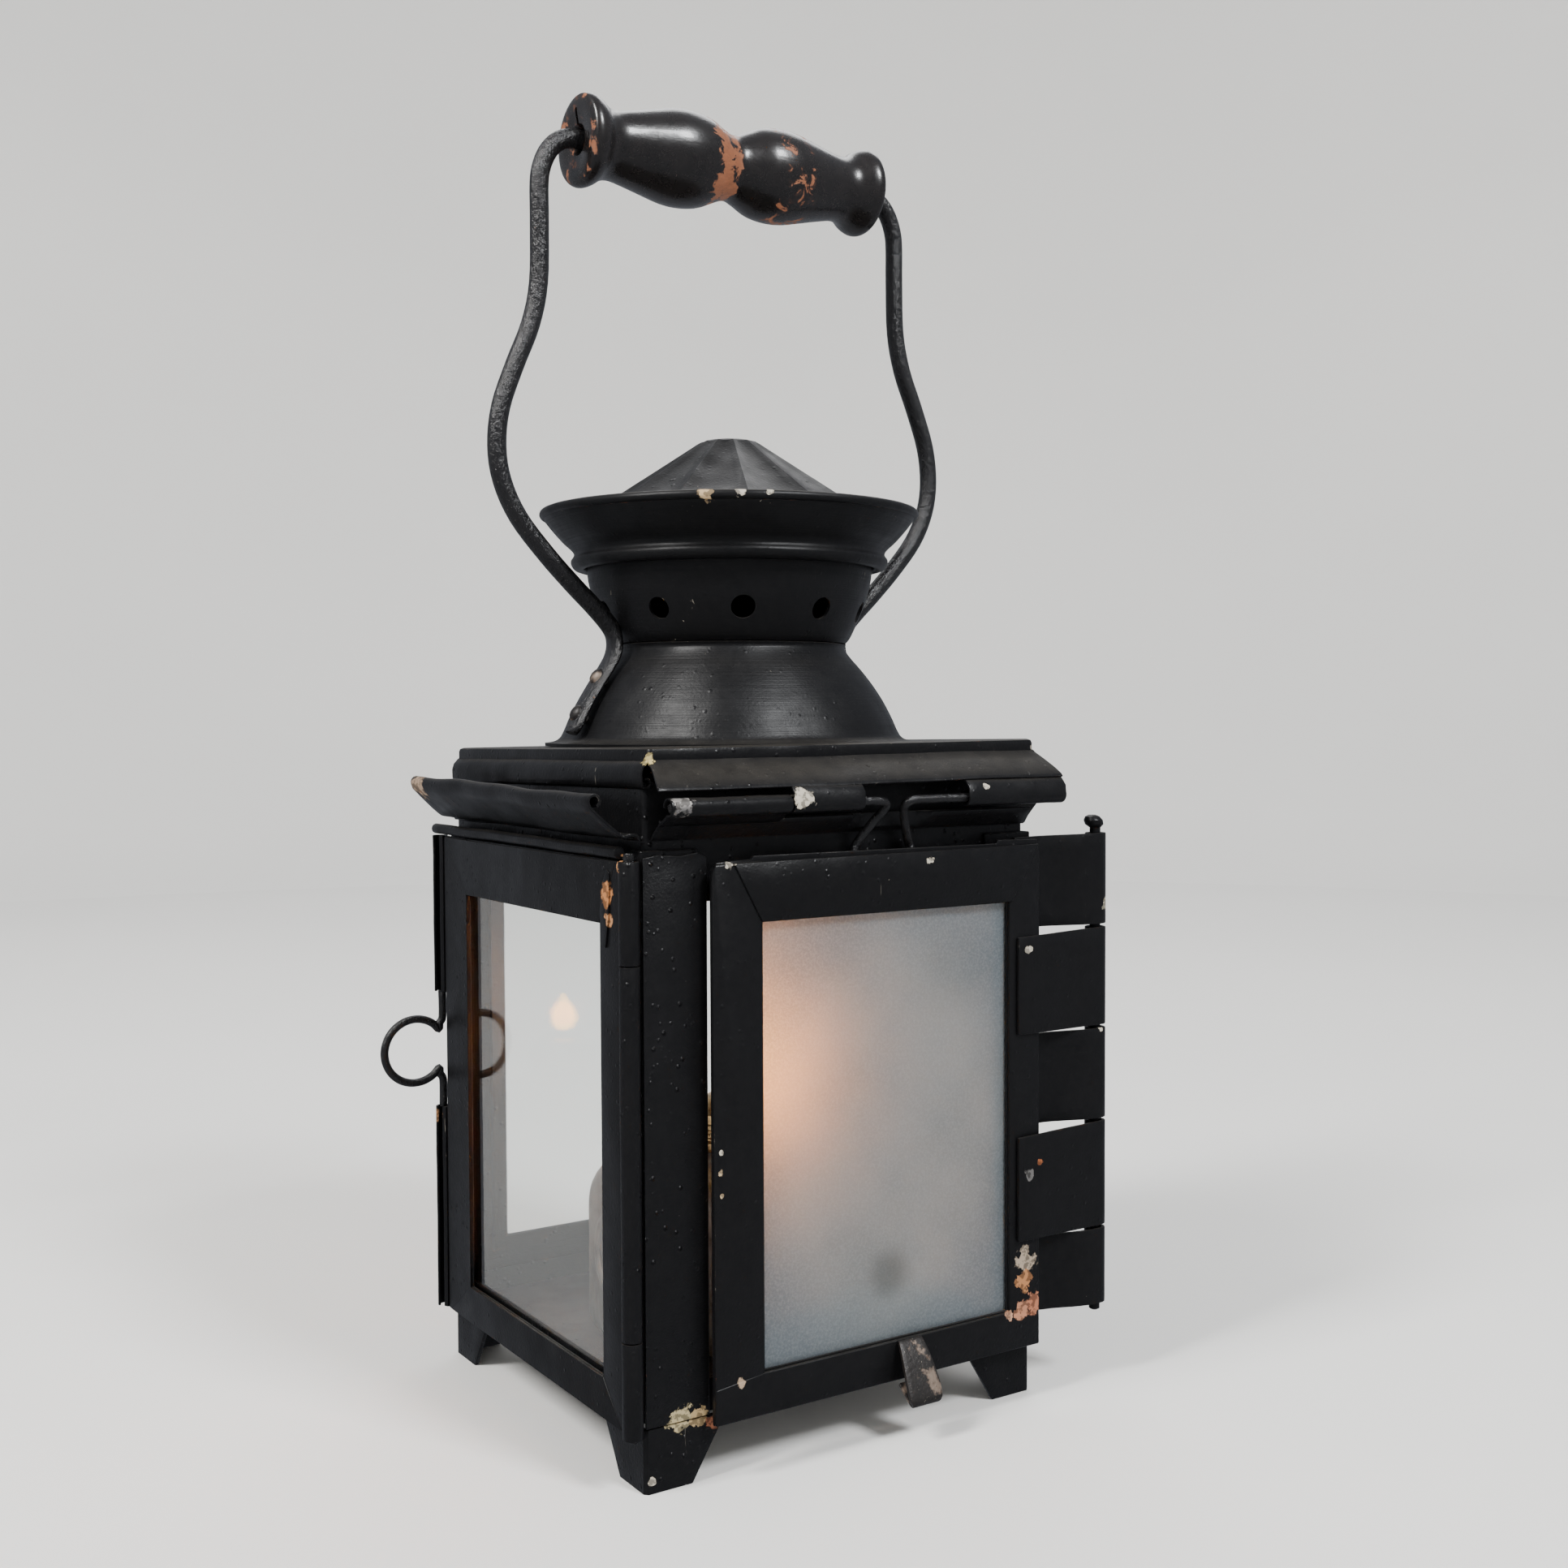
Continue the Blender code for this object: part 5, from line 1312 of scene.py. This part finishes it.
def lamp():
    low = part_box("oil_tank")[0].z / MM
    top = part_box("oil_tank")[1].z / MM
    line = [(10.5, top), (14.0, top - 0.3), (20.0, top - 1.2), (27.0, top - 2.4), (33.0, top - 4.2)]
    line += [(37.4, top - 7.0), (39.5, top - 11.0), (40.0, top - 15.0)]
    line = [tuple(p) for p in spline(line, 4)] + [
        (40.0, low + 12.0), (40.0, low + 1.6), (39.4, low + 0.5), (38.4, low)
    ]
    inner = [(38.0, low + 0.8), (39.2, low + 2.2), (39.2, top - 15.0), (32.4, top - 5.0), (20.0, top - 2.0)]
    profile = line + [(0.02, low), (0.02, low + 0.8)] + inner + [(10.5, top - 0.8)]
    made = lathe("tank_spun", profile, TIN, "lamp", ["oil_tank"], steps=120, slot="tin")
    settle(made)
    # The ring pressed into the tank's left side.
    y, z, radius = -6.0, 41.0, 10.5
    for name, size, tube in (("outer", radius, 1.7), ("inner", radius * 0.52, 1.3)):
        bm = bmesh.new()
        rings = []
        for i in range(48):
            angle = math.tau * i / 48
            ring = []
            for k in range(12):
                turn = math.tau * k / 12
                reach = size + tube * math.cos(turn)
                side, up = y + reach * math.cos(angle), z + reach * math.sin(angle)
                depth = -math.sqrt(max(40.0**2 - side**2, 0.0)) - 0.15 - 0.75 * math.sin(turn)
                ring.append(at(depth, side, up))
            rings.append(ring)
        rings.append(rings[0])
        grid(bm, rings, closed=True)
        bmesh.ops.remove_doubles(bm, verts=bm.verts, dist=0.001 * MM)
        settle(piece("tank_pressed_ring_" + name, bm, TIN, "lamp", slot="tin"))
    base = top + 0.35
    rim = [
        (9.8, base + 2.5), (10.6, base + 2.8), (11.6, base + 2.3), (11.8, base + 1.0), (11.4, base),
        (9.8, base)
    ]
    settle(lathe("tank_collar_turned", rim, BRASS, "lamp", ["tank_collar"], steps=72, slot="brass"))
    body = [(6.4, base + 7.6), (9.6, base + 7.6), (10.9, base + 7.2), (11.4, base + 6.2)]
    for i in range(1, 6):
        body.append((11.4 - 0.35 * (i % 2), base + 6.2 - 0.55 * i))
    body += [(11.2, base + 3.1), (9.3, base + 2.95), (9.3, base - 5.0), (6.4, base - 5.0)]
    settle(lathe("burner_body_turned", body, BRASS, "lamp", ["burner_body"], steps=72, slot="brass"))
    gallery = [
        (5.2, base + 14.6), (6.8, base + 14.3), (8.4, base + 13.4), (9.8, base + 12.0), (10.8, base + 10.9)
    ]
    gallery += [
        (11.9, base + 10.2), (12.0, base + 9.0), (11.9, base + 7.9), (11.2, base + 7.9), (11.2, base + 9.7)
    ]
    gallery += [(10.1, base + 10.4), (7.8, base + 12.9), (5.2, base + 13.8)]
    made = lathe("burner_gallery_pressed", gallery, BRASS, "lamp", ["burner_gallery"], steps=96, slot="brass")
    holes = []
    for i in range(14):
        angle = math.tau * (i + 0.5) / 14
        out = Vector((math.cos(angle), math.sin(angle), 0.0))
        spot = Vector((0, 0, base + 9.0))
        holes.append(bar(spot + out * 9, spot + out * 14, 0.8, 16))
    cut(made, holes)
    knob_low, knob_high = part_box("wick_shaft")
    shaft_z = (knob_low.z + knob_high.z) / 2 / MM
    line = [(0.02, 27.2), (3.6, 27.2), (4.4, 27.0)]
    line += [(5.0, 26.4), (5.0, 24.7), (4.4, 24.1), (2.0, 23.9), (0.95, 23.6), (0.95, 2.2), (0.02, 2.2)]
    place = Matrix.Translation(at(0, 0, shaft_z)) @ Matrix.Rotation(math.radians(-90), 4, "X")
    made = lathe(
        "wick_knob_turned", line, BRASS, "wick_knob", ["wick_shaft"], axis=place, steps=60, slot="brass"
    )
    for vert in made.data.vertices:
        offset = vert.co - at(0, 0, shaft_z)
        flat = Vector((offset.x, 0.0, offset.z))
        if flat.length > 4.7 * MM:
            angle = math.atan2(flat.z, flat.x)
            shrink = 1 - 0.05 * (math.sin(angle * 15) > 0)
            vert.co.x = flat.x * shrink
            vert.co.z = at(0, 0, shaft_z).z + flat.z * shrink
    settle(made)


def flame():
    """A small teardrop of light over the wick. It isn't part of the lantern."""
    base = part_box("wick")[1].z / MM
    line = [
        (0.02, 1.6), (2.2, 2.2), (3.7, 4.4), (3.7, 6.8), (2.6, 9.6), (1.3, 12.0), (0.4, 13.6), (0.02, 14.2)
    ]
    bm = bmesh.new()
    rows = []
    for point in spline(line, 3):
        row = []
        for i in range(24):
            angle = math.tau * i / 24
            lean = 0.25 * math.sin(point.y / 5.0)
            row.append(at(point.x * 1.15 * math.cos(angle) + lean, point.x * math.sin(angle), base + point.y))
        rows.append(row)
    grid(bm, rows, closed=True)
    mesh = bpy.data.meshes.new("flame")
    bm.to_mesh(mesh)
    bm.free()
    mesh.shade_smooth()
    glow = bpy.data.materials.new("flame_light")
    glow.use_nodes = True
    tree = glow.node_tree
    tree.nodes.remove(tree.nodes["Principled BSDF"])
    fire = tree.nodes.new("ShaderNodeEmission")
    fire.inputs["Color"].default_value = (1.0, 0.46, 0.0, 1.0)
    fire.inputs["Strength"].default_value = 32.0
    clear = tree.nodes.new("ShaderNodeBsdfTransparent")
    facing = tree.nodes.new("ShaderNodeLayerWeight")
    facing.inputs["Blend"].default_value = 0.35
    blend = tree.nodes.new("ShaderNodeMixShader")
    tree.links.new(facing.outputs["Facing"], blend.inputs["Fac"])
    tree.links.new(fire.outputs[0], blend.inputs[1])
    tree.links.new(clear.outputs[0], blend.inputs[2])
    tree.links.new(blend.outputs[0], tree.nodes["Material Output"].inputs["Surface"])
    mesh.materials.append(glow)
    made = bpy.data.objects.new("flame", mesh)
    bpy.context.scene.collection.objects.link(made)
    made.parent = frame["bodies"]["wick"]
    data = bpy.data.lights.new("flame_glow", "POINT")
    data.energy = 15.0
    data.color = (1.0, 0.3, 0.05)
    data.shadow_soft_size = 4.0 * MM
    light = bpy.data.objects.new("flame_glow", data)
    light.location = at(0, 0, base + 7.0)
    light.visible_camera = light.visible_diffuse = light.visible_glossy = False
    bpy.context.scene.collection.objects.link(light)
    light.parent = frame["bodies"]["wick"]


# ---------------------------------------------------------------- carried-over nodes


def paint_nodes():
    """Every CAD node that is still shown gets the finish of its slot."""
    by_slot = {
        "black_paint": plain_paint,
        "bail_paint": bail_metal,
        "worn_steel": dark_wire,
        "clear_glass": CLEAR,
        "frosted_glass": FROSTED,
        "tin": TIN,
        "brass": BRASS,
        "cotton": COTTON,
        "painted_wood": WOOD,
    }
    slots = {part["node"]: part["material_slot"] for part in frame["record"]["subparts"]}
    for name, node in frame["nodes"].items():
        node.data.materials.clear()
        node.data.materials.append(by_slot[slots[name]])


# ---------------------------------------------------------------- stage, light and camera


def stage():
    """A pale floor that curves up into a pale wall all round."""
    profile = [(0.0, 0.0), (1.5, 0.0)]
    for i in range(1, 13):
        angle = math.radians(90) * i / 12
        profile.append((1.5 + 0.9 * math.sin(angle), 0.9 - 0.9 * math.cos(angle)))
    profile.append((2.4, 3.0))
    bm = bmesh.new()
    rows = []
    for radius, z in profile:
        rows.append(
            [
                (
                    radius * math.cos(math.tau * i / 96), radius * math.sin(math.tau * i / 96), z
                ) for i in range(96)
            ]
        )
    grid(bm, rows[1:], closed=True)
    bmesh.ops.create_circle(bm, cap_ends=True, segments=96, radius=1.5)
    mesh = bpy.data.meshes.new("floor")
    bm.to_mesh(mesh)
    bm.free()
    mesh.shade_smooth()
    g = Graph("pale_floor")
    cloud = g.noise(0.0016, 4.0)
    g.finish(g.mix(cloud, (0.74, 0.735, 0.715), (0.82, 0.81, 0.79)), 0.75, 0.0)
    mesh.materials.append(g.material)
    floor = bpy.data.objects.new("floor", mesh)
    bpy.context.scene.collection.objects.link(floor)
    floor.visible_glossy = False


def soft_box(name, place, aim, size, energy, colour=(1.0, 1.0, 1.0)):
    data = bpy.data.lights.new(name, "AREA")
    data.shape = "RECTANGLE"
    data.size, data.size_y = size
    data.energy = energy
    data.color = colour
    light = bpy.data.objects.new(name, data)
    light.location = place
    light.rotation_mode = "QUATERNION"
    light.rotation_quaternion = (Vector(aim) - Vector(place)).to_track_quat("-Z", "Y")
    light.visible_camera = False
    bpy.context.scene.collection.objects.link(light)


def lights():
    world = bpy.data.worlds.new("soft_room")
    world.use_nodes = True
    world.node_tree.nodes["Background"].inputs["Color"].default_value = (0.86, 0.9, 1.0, 1.0)
    world.node_tree.nodes["Background"].inputs["Strength"].default_value = 0.34
    bpy.context.scene.world = world
    aim = (0.0, 0.0, 0.18)
    soft_box("left_box", (-1.35, -0.15, 1.55), aim, (0.4, 0.6), 50.0, (1.0, 0.99, 0.97))
    soft_box("front_box", (0.35, -1.45, 1.6), aim, (0.42, 0.5), 46.0, (0.97, 0.985, 1.0))
    soft_box("back_box", (0.9, 1.2, 1.7), aim, (1.2, 0.9), 12.0)


CAMERA_PLACE = (-0.25692, -0.41822, 0.18594)
CAMERA_HEADING = math.radians(33.07)
CAMERA_PITCH = math.radians(-2.25)
CAMERA_ROLL = math.radians(-0.26)


def camera():
    data = bpy.data.cameras.new("camera")
    data.sensor_width = 36.0
    data.lens = 40.46
    data.clip_start, data.clip_end = 0.01, 50.0
    made = bpy.data.objects.new("camera", data)
    forward = Vector(
        (
            math.sin(CAMERA_HEADING) * math.cos(CAMERA_PITCH),
            math.cos(CAMERA_HEADING) * math.cos(CAMERA_PITCH),
            math.sin(CAMERA_PITCH),
        )
    )
    right = forward.cross(Vector((0, 0, 1))).normalized()
    up = right.cross(forward)
    tilted_right = math.cos(CAMERA_ROLL) * right + math.sin(CAMERA_ROLL) * up
    tilted_up = math.cos(CAMERA_ROLL) * up - math.sin(CAMERA_ROLL) * right
    turn = Matrix((tilted_right, tilted_up, -forward)).transposed().to_4x4()
    made.matrix_world = Matrix.Translation(CAMERA_PLACE) @ turn
    bpy.context.scene.collection.objects.link(made)
    bpy.context.scene.camera = made


# ---------------------------------------------------------------- build

roof()
roof_hinge()
dome()
cup()
crown()
cap()
bail()
grip()
collars()
band()
feet()
front_pin()
leaves()
front_panel()
left_door()
lamp()
flame()
paint_nodes()
stage()
lights()
camera()
